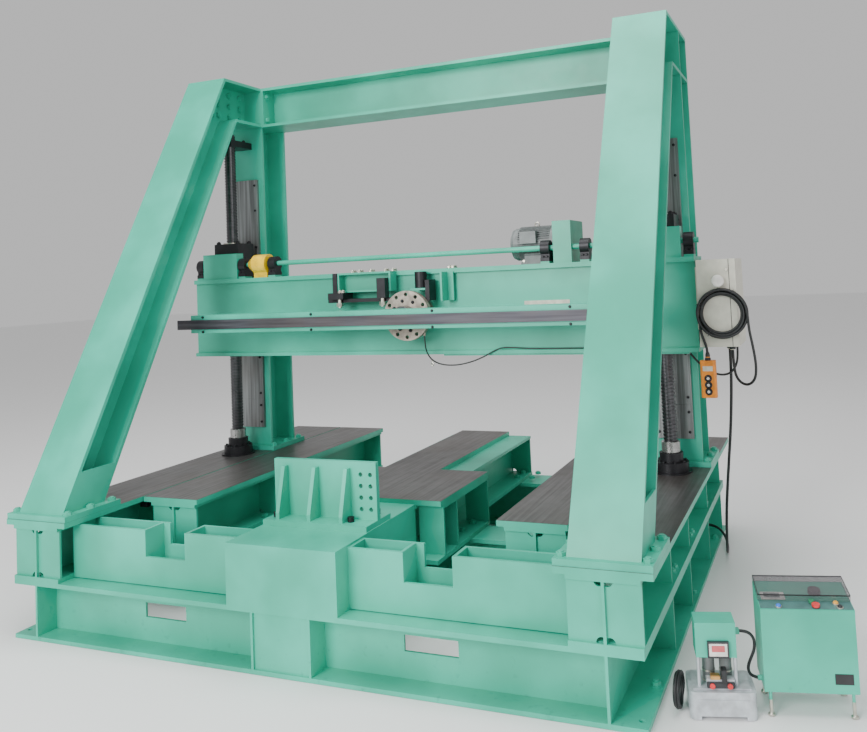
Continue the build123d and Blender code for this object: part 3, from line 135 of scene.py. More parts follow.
def as_mesh(thing):
    """Turns an object with modifiers or a curve into a plain mesh object of the same name."""
    bpy.context.view_layer.update()
    evaluated = thing.evaluated_get(bpy.context.evaluated_depsgraph_get())
    mesh = bpy.data.meshes.new_from_object(evaluated)
    name = thing.name
    materials = [slot.material for slot in thing.material_slots]
    bpy.data.objects.remove(thing)
    mesh.name = name
    plain = bpy.data.objects.new(name, mesh)
    bpy.context.collection.objects.link(plain)
    if not mesh.materials:
        for material in materials:
            mesh.materials.append(material)
    for face in mesh.polygons:
        face.use_smooth = True
    return plain


def tube(name, points, diameter, resolution=10):
    """A cord as a mesh tube, with the points that its line passes through and its length."""
    cord = cord_line(name, points, diameter, resolution)
    path, length = centre_line(cord)
    print(name, round(length, 3), "m")
    return as_mesh(cord), path, length


# %% [markdown]
# The supply cable hangs from the cabinet's underside to the floor, goes round behind and into the base.

# %% Supply cable
SUPPLY_D = 0.016
SUPPLY_ROUTE = [at(*point) for point in (
    (1844, 1600, 1286), (1844, 1600, 1180), (1833, 1622, 1010), (1815, 1655, 830), (1789, 1700, 640),
    (1764, 1755, 460), (1744, 1820, 300), (1730, 1905, 160), (1716, 2010, 60), (1702, 2120, 10),
    (1692, 2240, 9), (1674, 2340, 24), (1640, 2410, 52), (1592, 2452, 68), (1536, 2470, 70),
    (1500, 2470, 70))]
supply, supply_path, supply_length = tube("supply_cable_tube", SUPPLY_ROUTE, SUPPLY_D)
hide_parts("supply_cable")
at(1760, 1780, 300)
at(1844, 1600, 1250)
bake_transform(supply)

# %% [markdown]
# One cord makes the loop under the cabinet, the coil on its door and the drop to the pendant. A table
# gives the coil's radius and depth at some angles, and a loop places the points of its turns.

# %% Pendant cable
PENDANT_D = 0.014
COIL_CENTRE = (1832, 1417, 1487)
TURN_STEP = 24
TURN_PLACES = ((0, 132, -14), (270, 127, -14), (360, 134, -1), (630, 129, -1), (720, 130, 12),
               (900, 134, 12), (990, 118, 6), (1260, 113, 6), (1350, 117, -7), (1620, 111, -7),
               (1710, 103, 0), (1980, 106, 0), (2070, 104, 12), (2340, 112, 13))


def along(table, value):
    """Straight-line values between the rows of a table whose first column rises."""
    for low, high in zip(table, table[1:]):
        if low[0] <= value <= high[0]:
            share = (value - low[0]) / (high[0] - low[0])
            return [a + share * (b - a) for a, b in zip(low[1:], high[1:])]
    return list(table[-1][1:])


coil_points = []
for angle in range(0, 2341, TURN_STEP):
    radius, offset = along(TURN_PLACES, angle)
    x = COIL_CENTRE[0] + radius * cos(radians(angle))
    z = COIL_CENTRE[2] + radius * sin(radians(angle))
    coil_points.append(at(x, COIL_CENTRE[1] + offset, z))
LOOP_ROUTE = [at(*point) for point in (
    (1866, 1530, 1286), (1866, 1530, 1236), (1869, 1527, 1186), (1876, 1521, 1145), (1898, 1502, 1116),
    (1929, 1475, 1105), (1959, 1449, 1116), (1981, 1430, 1145), (1989, 1423, 1186), (1989, 1417, 1242),
    (1979, 1411, 1325), (1966, 1409, 1405))]
DROP_ROUTE = [at(*point) for point in (
    (1714, 1415, 1425), (1723, 1419, 1372), (1738, 1426, 1326), (1744, 1432, 1292), (1744, 1432, 1260))]
pendant_route = LOOP_ROUTE + coil_points + DROP_ROUTE
pendant_cord, pendant_path, pendant_length = tube("pendant_cord", pendant_route, PENDANT_D, 6)
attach(pendant_cord, "cabinet_door")
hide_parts("pendant_cable", "cable_coil")

# %% [markdown]
# A thin cable runs from the ram's end flange along the crosshead's lower edge.

# %% Sensor cable
SENSOR_D = 0.008
SENSOR_ROUTE = [at(*point) for point in (
    (106, 1365, 1404), (106, 1365, 1352), (108, 1384, 1298), (128, 1412, 1250), (180, 1436, 1222),
    (262, 1452, 1216), (352, 1461, 1232), (436, 1466, 1262), (500, 1468.5, 1296), (556, 1473, 1318),
    (622, 1486, 1316), (705, 1491, 1309), (812, 1492, 1307.5), (918, 1491.5, 1307.5), (1020, 1491, 1308),
    (1120, 1490, 1309))]
sensor, sensor_path, sensor_length = tube("sensor_lead", SENSOR_ROUTE, SENSOR_D)
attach(sensor, "crosshead")
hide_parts("sensor_cable")

# %% [markdown]
# A short hose joins the power pack to the console in an S.

# %% Power-pack hose
HOSE_D = 0.012
HOSE_ROUTE = [at(*point) for point in (
    (1950, 301.3, 300), (1981, 309, 300), (2006, 317, 272), (2005, 320, 228), (1987, 322, 187),
    (1976, 325, 158), (1976, 329, 134), (1987, 334, 116), (2009, 340, 110))]
hose, hose_path, hose_length = tube("power_pack_hose", HOSE_ROUTE, HOSE_D)
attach(hose, "frame")
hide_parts("pump_hose")

# %% [markdown]
# A put-away control cable leans on the tank's left side. Its turns sit in an upright ring that is
# turned a little from the tank, and each turn is a little larger or smaller than the next.

# %% Power-pack cable coil
PACK_PLACE = at(1768, 158, 0)
PACK_TURN = 14
COIL_START = 30                   # degrees round the ring where the cable's first end lies
COIL_CORD_D = 0.009
COIL_FRAME = (Matrix.Translation(PACK_PLACE) @ Matrix.Rotation(radians(PACK_TURN), 4, "Z")
              @ Matrix.Translation((-0.034, 0.078, 0.078)) @ Matrix.Rotation(radians(-16), 4, "Z"))
COIL_TURNS = ((0, 68, 6), (270, 66, 6), (360, 67, -3), (630, 69, -3), (720, 60, 8), (990, 58, 8),
              (1080, 59, -1), (1350, 61, -1), (1440, 62, -9), (1770, 64, -9))
coil_route = []
for angle in range(COIL_START, COIL_START + 1771, TURN_STEP):
    radius, offset = along(COIL_TURNS, angle)
    across = radius * MM * cos(radians(angle))
    coil_route.append(COIL_FRAME @ Vector((offset * MM, across, radius * MM * sin(radians(angle)))))
pack_coil, pack_coil_path, pack_coil_length = tube("power_pack_coil", coil_route, COIL_CORD_D, 6)
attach(pack_coil, "frame")
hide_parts("pump_coil")

# %% [markdown]
# A third cable sags from the cabinet's underside to the crosshead's lower flange.

# %% Crosshead cable
CROSS_CORD_D = 0.012
CROSS_CORD_ROUTE = [at(*point) for point in (
    (1884, 1600, 1308), (1884, 1600, 1250), (1874, 1592, 1196), (1846, 1580, 1156), (1800, 1566, 1144),
    (1748, 1554, 1160), (1700, 1546, 1196), (1660, 1544, 1236), (1632, 1548, 1272))]
cross_cord, cross_cord_path, cross_cord_length = tube("crosshead_lead", CROSS_CORD_ROUTE, CROSS_CORD_D)
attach(cross_cord, "crosshead")

# %% [markdown]
# A finish is a small shader. Writing it as Python sums keeps it readable: a Value wraps a socket, and
# adding or multiplying two of them adds a Math node. Every other node comes from one method.

# %% Shader maths
class Value:
    """A shader socket that can be added, multiplied and compared."""

    def __init__(self, recipe, socket):
        self.recipe = recipe
        self.socket = socket

    def maths(self, operation, first, second):
        settings = {"operation": operation}
        return self.recipe.node("ShaderNodeMath", settings, {0: first, 1: second}).out(0)

    def __add__(self, other):
        return self.maths("ADD", self, other)

    def __mul__(self, other):
        return self.maths("MULTIPLY", self, other)

    def __sub__(self, other):
        return self.maths("SUBTRACT", self, other)

    def __rsub__(self, other):
        return self.maths("SUBTRACT", other, self)

    def __gt__(self, other):
        return self.maths("GREATER_THAN", self, other)

    __radd__ = __add__
    __rmul__ = __mul__


class Step:
    """One node of a recipe, whose outputs are Values."""

    def __init__(self, recipe, node):
        self.recipe = recipe
        self.node = node

    def out(self, key):
        return Value(self.recipe, self.node.outputs[key])


class Recipe:
    """A material built from nodes, with a Principled shader at its end."""

    def __init__(self, name):
        self.material = bpy.data.materials.new(name)
        self.material.use_nodes = True
        self.tree = self.material.node_tree
        self.shader = self.tree.nodes["Principled BSDF"]
        self.place = self.node("ShaderNodeTexCoord", {}, {}).out("Object")

    def node(self, kind, settings, inputs):
        node = self.tree.nodes.new(kind)
        for key, value in settings.items():
            setattr(node, key, value)
        for key, value in inputs.items():
            if isinstance(value, Value):
                self.tree.links.new(value.socket, node.inputs[key])
            else:
                node.inputs[key].default_value = value
        return Step(self, node)

    def noise(self, scale, detail=3.0, stretch=(1, 1, 1)):
        """Soft random shade from 0 to 1, stretched along an axis where a small number is given."""
        placed = self.node("ShaderNodeMapping", {}, {"Vector": self.place, "Scale": stretch}).out(0)
        inputs = {"Vector": placed, "Scale": scale, "Detail": detail}
        return self.node("ShaderNodeTexNoise", {}, inputs).out("Fac")

    def band(self, value, low, high):
        """0 below low, 1 above high, smooth between."""
        inputs = {"Value": value, "From Min": low, "From Max": high}
        return self.node("ShaderNodeMapRange", {"interpolation_type": "SMOOTHSTEP"}, inputs).out(0)

    def mix(self, share, first, second):
        """A colour between two colours."""
        colours = {6: (*first, 1) if isinstance(first, tuple) else first,
                   7: (*second, 1) if isinstance(second, tuple) else second}
        return self.node("ShaderNodeMix", {"data_type": "RGBA"}, {0: share, **colours}).out(2)

    def height(self):
        """Height of the point above the floor."""
        return self.node("ShaderNodeSeparateXYZ", {}, {0: self.place}).out(2)

    def set(self, **inputs):
        for key, value in inputs.items():
            name = key.replace("_", " ")
            if isinstance(value, Value):
                self.tree.links.new(value.socket, self.shader.inputs[name])
            else:
                self.shader.inputs[name].default_value = value

    def bump(self, height, strength, distance):
        inputs = {"Height": height, "Strength": strength, "Distance": distance}
        self.set(Normal=self.node("ShaderNodeBump", {}, inputs).out(0))


# %% [markdown]
# The frame is sprayed in one coat of mint-green machine enamel over rolled steel. Up close it has
# orange peel and slow clouds of tone, and near the floor it turns a deeper green in patches.

# %% Green enamel
MINT = (0.034, 0.430, 0.290)
MINT_PALE = (0.048, 0.500, 0.350)
MINT_DEEP = (0.024, 0.345, 0.228)
# A deeper green, mixed in patches into the enamel near the floor.
LOW_DEEP_GREEN = (0.020, 0.170, 0.120)


def enamel_colour(recipe):
    """Clouded green with faint streaks."""
    clouds = recipe.noise(1.6, 4.0)
    colour = recipe.mix(recipe.band(clouds, 0.35, 0.68), MINT_DEEP, MINT_PALE)
    streaks = recipe.band(recipe.noise(9.0, 5.0, (1, 1, 0.25)), 0.58, 0.80)
    return recipe.mix(streaks * 0.30, colour, MINT)


def green_enamel(name, gloss=0.34):
    recipe = Recipe(name)
    # Below 0.3 m the green is mixed up to 30 per cent towards a deeper green in noise patches.
    low_patches = recipe.band(recipe.noise(26.0, 6.0), 0.60, 0.72)
    low = recipe.band(recipe.height(), 0.30, 0.02)
    colour = recipe.mix(low_patches * low * 0.30, enamel_colour(recipe), LOW_DEEP_GREEN)
    recipe.set(Base_Color=colour, Roughness=recipe.noise(14.0) * 0.12 + gloss, Metallic=0.0)
    recipe.bump(recipe.noise(420.0, 2.0) + recipe.noise(18.0, 2.0) * 2.0, 0.10, 0.0006)
    return recipe


# %% [markdown]
# The tables are thick plates planed along their length and left bare. They are dark, with brown
# bloom, and the cutter's strokes run front to back. The plate is one piece with its beam, so one
# material covers both and changes at the plate's top.

# %% Planed steel
STEEL_DARK = (0.092, 0.086, 0.086)
STEEL_PALE = (0.170, 0.163, 0.162)
RUST = (0.105, 0.082, 0.070)


def planed_colour(recipe):
    strokes = recipe.noise(60.0, 6.0, (1, 0.03, 1))
    blotches = recipe.band(recipe.noise(2.3, 5.0), 0.38, 0.70)
    colour = recipe.mix(recipe.band(strokes, 0.30, 0.70), STEEL_DARK, STEEL_PALE)
    return recipe.mix(blotches * 0.45, colour, RUST)


def planed_steel(name, dark=STEEL_DARK, pale=STEEL_PALE, stretch=(1, 0.03, 1)):
    recipe = Recipe(name)
    strokes = recipe.noise(60.0, 6.0, stretch)
    blotches = recipe.band(recipe.noise(2.3, 5.0), 0.38, 0.70)
    colour = recipe.mix(blotches * 0.35, recipe.mix(recipe.band(strokes, 0.30, 0.70), dark, pale), RUST)
    recipe.set(Base_Color=colour, Metallic=0.75, Roughness=strokes * 0.22 + 0.34)
    recipe.bump(strokes, 0.12, 0.0005)
    return recipe


def table_beam(name, top):
    """Green beam whose plate is planed at the given height."""
    recipe = green_enamel(name)
    planed = recipe.height() > top - 0.0006
    green = recipe.shader.inputs["Base Color"].links[0].from_socket
    colour = recipe.mix(planed, Value(recipe, green), planed_colour(recipe))
    recipe.set(Base_Color=colour, Metallic=planed * 0.7)
    return recipe


# %% Other finishes
def plain_finish(name, colour, roughness, metallic=0.0, spread=0.16, grain=200.0, coat=0.0, depth=0.10):
    """One colour with fine clouds, a changing gloss and a light grain."""
    recipe = Recipe(name)
    deep = tuple(part * (1 - spread) for part in colour)
    pale = tuple(min(1.0, part * (1 + spread)) for part in colour)
    recipe.set(Base_Color=recipe.mix(recipe.band(recipe.noise(24.0, 5.0), 0.3, 0.7), deep, pale),
               Roughness=recipe.noise(40.0) * 0.14 + (roughness - 0.07), Metallic=metallic)
    recipe.shader.inputs["Coat Weight"].default_value = coat
    recipe.bump(recipe.noise(grain, 2.0), depth, 0.0004)
    return recipe.material


FINISH = {
    "green_paint": green_enamel("mint_enamel").material,
    "machined_steel": planed_steel("planed_steel").material,
    "black_oxide": plain_finish("blackened_steel", (0.020, 0.020, 0.023), 0.42, 0.55),
    "screw_steel": plain_finish("screw_steel", (0.085, 0.085, 0.090), 0.30, 0.9, grain=700.0),
    "guard_yellow": plain_finish("guard_yellow", (0.83, 0.52, 0.01), 0.32, coat=0.3),
    "motor_grey": plain_finish("motor_grey", (0.155, 0.170, 0.170), 0.45),
    "zinc": plain_finish("zinc_plate", (0.56, 0.54, 0.47), 0.32, 0.9),
    "cabinet_cream": plain_finish("cabinet_cream", (0.60, 0.585, 0.50), 0.48, spread=0.06, grain=520.0,
                                  depth=0.2),
    "cable_black": plain_finish("cable_sheath", (0.014, 0.015, 0.016), 0.48),
    "pendant_orange": plain_finish("pendant_orange", (0.86, 0.27, 0.02), 0.42, grain=380.0),
    "button_black": plain_finish("black_plastic", (0.020, 0.020, 0.022), 0.35),
    "button_red": plain_finish("red_plastic", (0.62, 0.020, 0.022), 0.28, coat=0.4),
    "button_green": plain_finish("green_plastic", (0.02, 0.20, 0.09), 0.28, coat=0.4),
    "tank_alloy": plain_finish("cast_alloy", (0.50, 0.53, 0.56), 0.40, 0.35, grain=90.0, depth=0.3),
    "meter_black": plain_finish("meter_case", (0.030, 0.032, 0.036), 0.38),
}


def smoked_acrylic():
    recipe = Recipe("smoked_acrylic")
    haze = recipe.noise(6.0, 3.0)
    recipe.set(Base_Color=recipe.mix(haze, (0.10, 0.085, 0.10), (0.17, 0.15, 0.165)),
               Roughness=haze * 0.1 + 0.06, Alpha=haze * 0.1 + 0.28)
    return recipe.material


FINISH["smoked_lid"] = smoked_acrylic()
TABLE_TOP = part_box("centre_table_plate")[1].z
TABLE_BEAM = table_beam("planed_table_beam", TABLE_TOP).material
CENTRE_PLATE = table_beam("planed_centre_plate", TABLE_TOP).material
STRIP_STEEL = planed_steel("strip_steel", (0.150, 0.160, 0.162), (0.330, 0.350, 0.352),
                           (1, 1, 0.03)).material
BAR_STEEL = planed_steel("bar_steel", (0.050, 0.050, 0.062), (0.095, 0.096, 0.112),
                         (0.04, 1, 1)).material
GROUND_STEEL = plain_finish("ground_steel", (0.36, 0.36, 0.35), 0.28, 0.9)
DISC_STEEL = plain_finish("disc_steel", (0.330, 0.285, 0.240), 0.45, 0.5, spread=0.3)
print("finishes:", len(FINISH))

# %% [markdown]
# Each part of the frame names its material in the record, so its finish comes from there. The tables,
# the guide strips, the loading strip and the ram's flange have a finish of their own.

# %% Finishes on the frame's parts
SLOT_OF = {row["node"]: row["material_slot"] for row in frame["record"]["subparts"]}
for node, thing in frame["nodes"].items():
    finish = FINISH[SLOT_OF[node]]
    if node.startswith(("side_beam", "inner_beam")):
        finish = TABLE_BEAM
    finish = {"centre_table_plate": CENTRE_PLATE, "guide_strips": STRIP_STEEL, "loading_strip": BAR_STEEL,
              "ram_cylinder": DISC_STEEL}.get(node, finish)
    for slot in thing.material_slots:
        slot.material = finish
for cord in (supply, pendant_cord, sensor, hose, pack_coil, cross_cord):
    cord.data.materials.clear()
    cord.data.materials.append(FINISH["cable_black"])

# %% [markdown]
# Bolts repeat more than a hundred times, so a Geometry Nodes tree makes them all. Its points are the
# vertices of a tiny mesh; on each point it sets a washer, a hexagon head and the end of the thread. The
# size and the turn are named inputs. It ends in real geometry, because an instance is lost when the
# model is exported.

# %% A small helper for node trees
class Grower:
    """A Geometry Nodes tree with named inputs, built node by node."""

    def __init__(self, name, **inputs):
        self.tree = bpy.data.node_groups.new(name, "GeometryNodeTree")
        interface = self.tree.interface
        interface.new_socket("Geometry", in_out="INPUT", socket_type="NodeSocketGeometry")
        self.sockets = {}
        for key, default in inputs.items():
            kind = {int: "Int", float: "Float", tuple: "Vector"}[type(default)]
            socket = interface.new_socket(key, in_out="INPUT", socket_type=f"NodeSocket{kind}")
            socket.default_value = default
            self.sockets[key] = socket.identifier
        interface.new_socket("Geometry", in_out="OUTPUT", socket_type="NodeSocketGeometry")
        self.start = self.tree.nodes.new("NodeGroupInput")
        self.end = self.tree.nodes.new("NodeGroupOutput")

    def given(self, key):
        return self.start.outputs[key]

    def node(self, kind, settings=None, **inputs):
        node = self.tree.nodes.new(kind)
        for key, value in (settings or {}).items():
            setattr(node, key, value)
        for key, value in inputs.items():
            socket = node.inputs[key.replace("_", " ")]
            if isinstance(value, bpy.types.NodeSocket):
                self.tree.links.new(value, socket)
            else:
                socket.default_value = value
        return node

    def moved(self, geometry, offset):
        return self.node("GeometryNodeTransform", Geometry=geometry, Translation=offset).outputs[0]

    def joined(self, *parts):
        node = self.tree.nodes.new("GeometryNodeJoinGeometry")
        for part in parts:
            self.tree.links.new(part, node.inputs[0])
        return node.outputs[0]

    def finish(self, geometry, material):
        solid = self.node("GeometryNodeRealizeInstances", Geometry=geometry).outputs[0]
        done = self.node("GeometryNodeSetMaterial", Geometry=solid, Material=material).outputs[0]
        self.tree.links.new(done, self.end.inputs[0])
        return self


def grown(name, places, grower, **values):
    """A plain mesh object from a Geometry Nodes tree on some points."""
    seed = bpy.data.meshes.new(name)
    seed.from_pydata([tuple(place) for place in places], [], [])
    thing = bpy.data.objects.new(name, seed)
    bpy.context.collection.objects.link(thing)
    modifier = thing.modifiers.new("grow", "NODES")
    modifier.node_group = grower.tree
    for key, value in values.items():
        modifier[grower.sockets[key]] = value
    plain = as_mesh(thing)
    for face in plain.data.polygons:
        face.use_smooth = False
    return plain


def place_piece(piece, body):
    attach(piece, body)
    print(piece.name, len(piece.data.polygons), "faces")
    return piece


# %% [markdown]
# What doesn't repeat is built by hand from a few shapes: a turned profile, or a Blender mesh. Each is
# moved to its place inside its mesh, and several can become one piece that keeps its materials.

# %% Turned shapes and joined pieces
def lathe(profile, around=48):
    """A closed turned shape about Z from (radius, height) steps that start and end on the axis."""
    shape = bmesh.new()
    rings = []
    for radius, height in profile:
        if radius == 0:
            rings.append([shape.verts.new((0, 0, height))])
        else:
            steps = [2 * pi * step / around for step in range(around)]
            rings.append([shape.verts.new((radius * cos(a), radius * sin(a), height)) for a in steps])
    for low, high in zip(rings, rings[1:]):
        for step in range(around):
            after = (step + 1) % around
            corners = [low[step % len(low)], low[after % len(low)], high[after % len(high)],
                       high[step % len(high)]]
            unique = list(dict.fromkeys(corners))
            if len(unique) > 2:
                shape.faces.new(unique)
    bmesh.ops.recalc_face_normals(shape, faces=shape.faces)
    return shape


def from_bmesh(name, shape, matrix, material):
    """A named object at the origin whose mesh holds its place."""
    mesh = bpy.data.meshes.new(name)
    shape.transform(matrix)
    shape.to_mesh(mesh)
    shape.free()
    mesh.materials.append(material)
    thing = bpy.data.objects.new(name, mesh)
    bpy.context.collection.objects.link(thing)
    return thing


def joined_pieces(name, parts):
    """Several mesh objects as one."""
    whole = bmesh.new()
    materials = []
    for part in parts:
        for material in part.data.materials:
            if material not in materials:
                materials.append(material)
    for part in parts:
        shift = [materials.index(material) for material in part.data.materials]
        start = len(whole.faces)
        whole.from_mesh(part.data)
        whole.faces.ensure_lookup_table()
        for face in whole.faces[start:]:
            face.material_index = shift[face.material_index]
        bpy.data.objects.remove(part)
    mesh = bpy.data.meshes.new(name)
    whole.to_mesh(mesh)
    whole.free()
    for material in materials:
        mesh.materials.append(material)
    thing = bpy.data.objects.new(name, mesh)
    bpy.context.collection.objects.link(thing)
    return thing


# %% Bolt tree
def bolt_tree(name, material):
    """Washer, head and thread end on each point, turned by the Turn input."""
    tree = Grower(name, Size=0.03, Turn=(0.0, 0.0, 0.0))
    washer = tree.node("GeometryNodeMeshCylinder", Vertices=20, Radius=0.60, Depth=0.12).outputs[0]
    head = tree.node("GeometryNodeMeshCylinder", Vertices=6, Radius=0.50, Depth=0.40).outputs[0]
    end = tree.node("GeometryNodeMeshCylinder", Vertices=12, Radius=0.28, Depth=0.60).outputs[0]
    bolt = tree.joined(tree.moved(washer, (0, 0, 0.06)), tree.moved(head, (0, 0, 0.30)),
                       tree.moved(end, (0, 0, 0.38)))
    placed = tree.node("GeometryNodeInstanceOnPoints", Points=tree.given("Geometry"), Instance=bolt,
                       Rotation=tree.given("Turn"), Scale=tree.given("Size")).outputs[0]
    return tree.finish(placed, material)


ZINC_BOLT = bolt_tree("zinc_bolt", FINISH["zinc"])
BLACK_BOLT = bolt_tree("black_bolt", FINISH["black_oxide"])
GREEN_BOLT = bolt_tree("painted_bolt", FINISH["green_paint"])
UP = (0.0, 0.0, 0.0)
FORWARD = (pi / 2, 0.0, 0.0)
DOWN = (pi, 0.0, 0.0)


def bolts(name, places, turn, size, body, tree=None):
    tree = tree or GREEN_BOLT
    piece = grown(name, places, tree, Size=size, Turn=turn)
    return place_piece(piece, body)


# %% [markdown]
# Bolted joints are what makes a frame like this look real: bearings and motor sit on bolts, covers are
# screwed on, the screw feet are flanged, and the front strip is held by pairs of screws.

# %% Bolts on the crosshead
DECK = 1812                       # top of the crosshead, in millimetres
pillow_spots = [at(x + dx, 1540 + dy, DECK + 22) for x in (-1658, -1312, -1070, 838, 1077, 1666)
                for dx in (-12, 12) for dy in (-34, 34)]
bolts("bearing_bolts", pillow_spots, UP, 0.018, "crosshead", BLACK_BOLT)
motor_spots = [at(x, 1686 + dy, DECK + 2) for x in (672, 822) for dy in (-70, 70)]
bolts("motor_foot_bolts", motor_spots, UP, 0.026, "crosshead", ZINC_BOLT)
housing_spots = [at(x + dx, back, 2042) for x in SCREW_SIDES for dx in (-80, 80) for back in (1590, 1714)]
bolts("nut_housing_bolts", housing_spots, UP, 0.030, "crosshead", BLACK_BOLT)
deck_spots = [at(x, back, 1800) for x in (-452, -400, -318, -214, -160, 226, 252) for back in (1500, 1530)]
bolts("deck_studs", deck_spots, UP, 0.026, "crosshead", ZINC_BOLT)

# %% Bolts on the ram
RAM_MIDDLE = at(0, 1345, 1526)
GLAND_BOLTS_R = 0.092
flange_ring = [RAM_MIDDLE + GLAND_BOLTS_R * Vector((cos(radians(angle)), 0, sin(radians(angle))))
               for angle in range(15, 360, 45)]
bolts("ram_gland_bolts", flange_ring, FORWARD, 0.018, "crosshead", BLACK_BOLT)
strip_spots = [at(x, 1165, z) for x in (-1364, -554, 256, 1073) for z in (1467, 1560)]
bolts("strip_screws", strip_spots, FORWARD, 0.014, "ram", BLACK_BOLT)
clamp_spots = [at(x, 1440, 1678) for x in (-531, -512)] + [at(x, 1370, 1678) for x in (-470, -446)]
bolts("clamp_nuts", clamp_spots, UP, 0.024, "crosshead", ZINC_BOLT)

# %% Bolts on the frame
FOOT_BOLTS_R = 80
foot_ring = [at(x + FOOT_BOLTS_R * cos(radians(angle)), 1635 + FOOT_BOLTS_R * sin(radians(angle)), 658)
             for x in SCREW_SIDES for angle in range(22, 360, 45)]
bolts("screw_foot_bolts", foot_ring, UP, 0.016, "frame", BLACK_BOLT)
guide_spots = [at(x + dx, 1785, z) for x in SCREW_SIDES for dx in (-88, 88)
               for z in (790, 905, 990, 1240, 1500, 1760, 2020, 2280, 2460)]
bolts("guide_strip_screws", guide_spots, FORWARD, 0.014, "frame", BLACK_BOLT)
bracket_spots = [at(x + dx, 1740, 2767) for x in SCREW_SIDES for dx in (-40, 40)]
bolts("top_bracket_bolts", bracket_spots, UP, 0.024, "frame", BLACK_BOLT)

tier_spots = [at(x, back, 316) for x in EDGE_SIDES for back in TIER_BACKS]
bolts("tier_nuts", tier_spots, UP, 0.036, "frame")
under_spots = [at(x, back, 272) for x in EDGE_SIDES for back in TIER_BACKS]
bolts("tier_bolt_heads", under_spots, DOWN, 0.036, "frame")
anchor_spots = [at(x, back, 20) for x in EDGE_SIDES for back in (350, 1400, 2350)]
bolts("levelling_bolts", anchor_spots, UP, 0.040, "frame")

# %% White studs beside the ram
STUD_HEIGHTS = (1604, 1662)       # the lower and the upper nut, in millimetres


def stud_piece(segments, radius, depth, place):
    shape = bmesh.new()
    bmesh.ops.create_cone(shape, cap_ends=True, segments=segments, radius1=radius, radius2=radius,
                          depth=depth)
    return from_bmesh("stud", shape, Matrix.Translation(place), FINISH["zinc"])


stud_parts = []
for x in (-474, -172):
    for height in STUD_HEIGHTS:
        stud_parts.append(stud_piece(6, 0.021, 0.022, at(x, 1372, height)))
    stud_parts.append(stud_piece(20, 0.012, 0.100, at(x, 1372, 1636)))
place_piece(joined_pieces("ram_studs", stud_parts), "crosshead")

# %% [markdown]
# The two lift screws have a trapezoidal thread that shows as close dark ridges. A spiral curve with a
# small trapezoid swept along it is the thread, a plain rod is its core. The plain CAD rods step aside
# for it and stay in the physics.

# %% Lift screws
THREAD_LEAD = 0.020
SCREW_R = 0.040
CORE_R = 0.0345
THREAD_LOW = 0.775
CHAMFER = 0.006
COLLAR_LOW, COLLAR_HIGH = 0.7085, 0.768


def thread_tree():
    tree = Grower("screw_thread", Length=2.0, Turns=120.0)
    line = tree.node("GeometryNodeCurveSpiral", Resolution=28, Rotations=tree.given("Turns"),
                     Height=tree.given("Length"))
    line.inputs["Start Radius"].default_value = CORE_R
    line.inputs["End Radius"].default_value = CORE_R
    ridge = tree.node("GeometryNodeCurvePrimitiveQuadrilateral", {"mode": "TRAPEZOID"})
    ridge.inputs["Bottom Width"].default_value = 0.0110
    ridge.inputs["Top Width"].default_value = 0.0085
    ridge.inputs["Height"].default_value = 2 * (SCREW_R - CORE_R) - 0.0006
    ridge.inputs["Offset"].default_value = 0.0
    upright = tree.node("GeometryNodeSetCurveNormal", {"mode": "Z_UP"}, Curve=line.outputs[0])
    swept = tree.node("GeometryNodeCurveToMesh", Curve=upright.outputs[0])
    tree.tree.links.new(ridge.outputs[0], swept.inputs["Profile Curve"])
    return tree.finish(swept.outputs[0], FINISH["screw_steel"])


thread = thread_tree()
for side in ("left", "right"):
    low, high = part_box(f"lift_screw_{side}")
    centre = (low + high) / 2
    length = high.z - 0.008 - THREAD_LOW
    ridges = grown("ridges", [(0, 0, 0)], thread, Length=length, Turns=length / THREAD_LEAD)
    ridges.data.transform(Matrix.Translation((centre.x, centre.y, THREAD_LOW)))
    rod = lathe([(0, low.z), (SCREW_R, low.z), (SCREW_R, THREAD_LOW - 0.005), (CORE_R, THREAD_LOW - 0.004),
                 (CORE_R, high.z - CHAMFER), (CORE_R - CHAMFER, high.z), (0, high.z)])
    core = from_bmesh("core", rod, Matrix.Translation((centre.x, centre.y, 0)), FINISH["screw_steel"])
    ring = lathe([(0, COLLAR_LOW), (0.0500, COLLAR_LOW), (0.0520, COLLAR_LOW + 0.002),
                  (0.0520, COLLAR_HIGH - 0.002), (0.0500, COLLAR_HIGH), (0, COLLAR_HIGH)])
    collar = from_bmesh("collar", ring, Matrix.Translation((centre.x, centre.y, 0)), GROUND_STEEL)
    screw = joined_pieces(f"threaded_screw_{side}", [core, ridges, collar])
    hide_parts(f"lift_screw_{side}")
    place_piece(screw, "frame")

# %% [markdown]
# The lift motor is a foot-mounted machine with cooling fins, a fan cowl and a lifting eye. The fins go
# round its shell, so a tree sets one thin slat on each point of a ring and turns it outwards.

# %% Motor fins
MOTOR_AXIS = at(0, 1686, 1924)
MOTOR_R = 0.098
MOTOR_X, COWL_X = 0.742, 0.584     # the middle of the fins and the end of the cowl


def fin_tree():
    tree = Grower("fins", Length=0.24, Radius=0.1, Count=40)
    ring = tree.node("GeometryNodeMeshCircle", Vertices=tree.given("Count"), Radius=tree.given("Radius"))
    slat = tree.node("GeometryNodeMeshCube", Size=(0.012, 0.0022, 1.0)).outputs[0]
    place = tree.node("GeometryNodeInputPosition").outputs[0]
    outwards = tree.node("FunctionNodeAlignRotationToVector", {"axis": "X"}, Vector=place).outputs[0]
    stretch = tree.node("ShaderNodeCombineXYZ", X=1.0, Y=1.0, Z=tree.given("Length")).outputs[0]
    fins = tree.node("GeometryNodeInstanceOnPoints", Points=ring.outputs[0], Instance=slat,
                     Rotation=outwards, Scale=stretch).outputs[0]
    return tree.finish(fins, FINISH["motor_grey"])


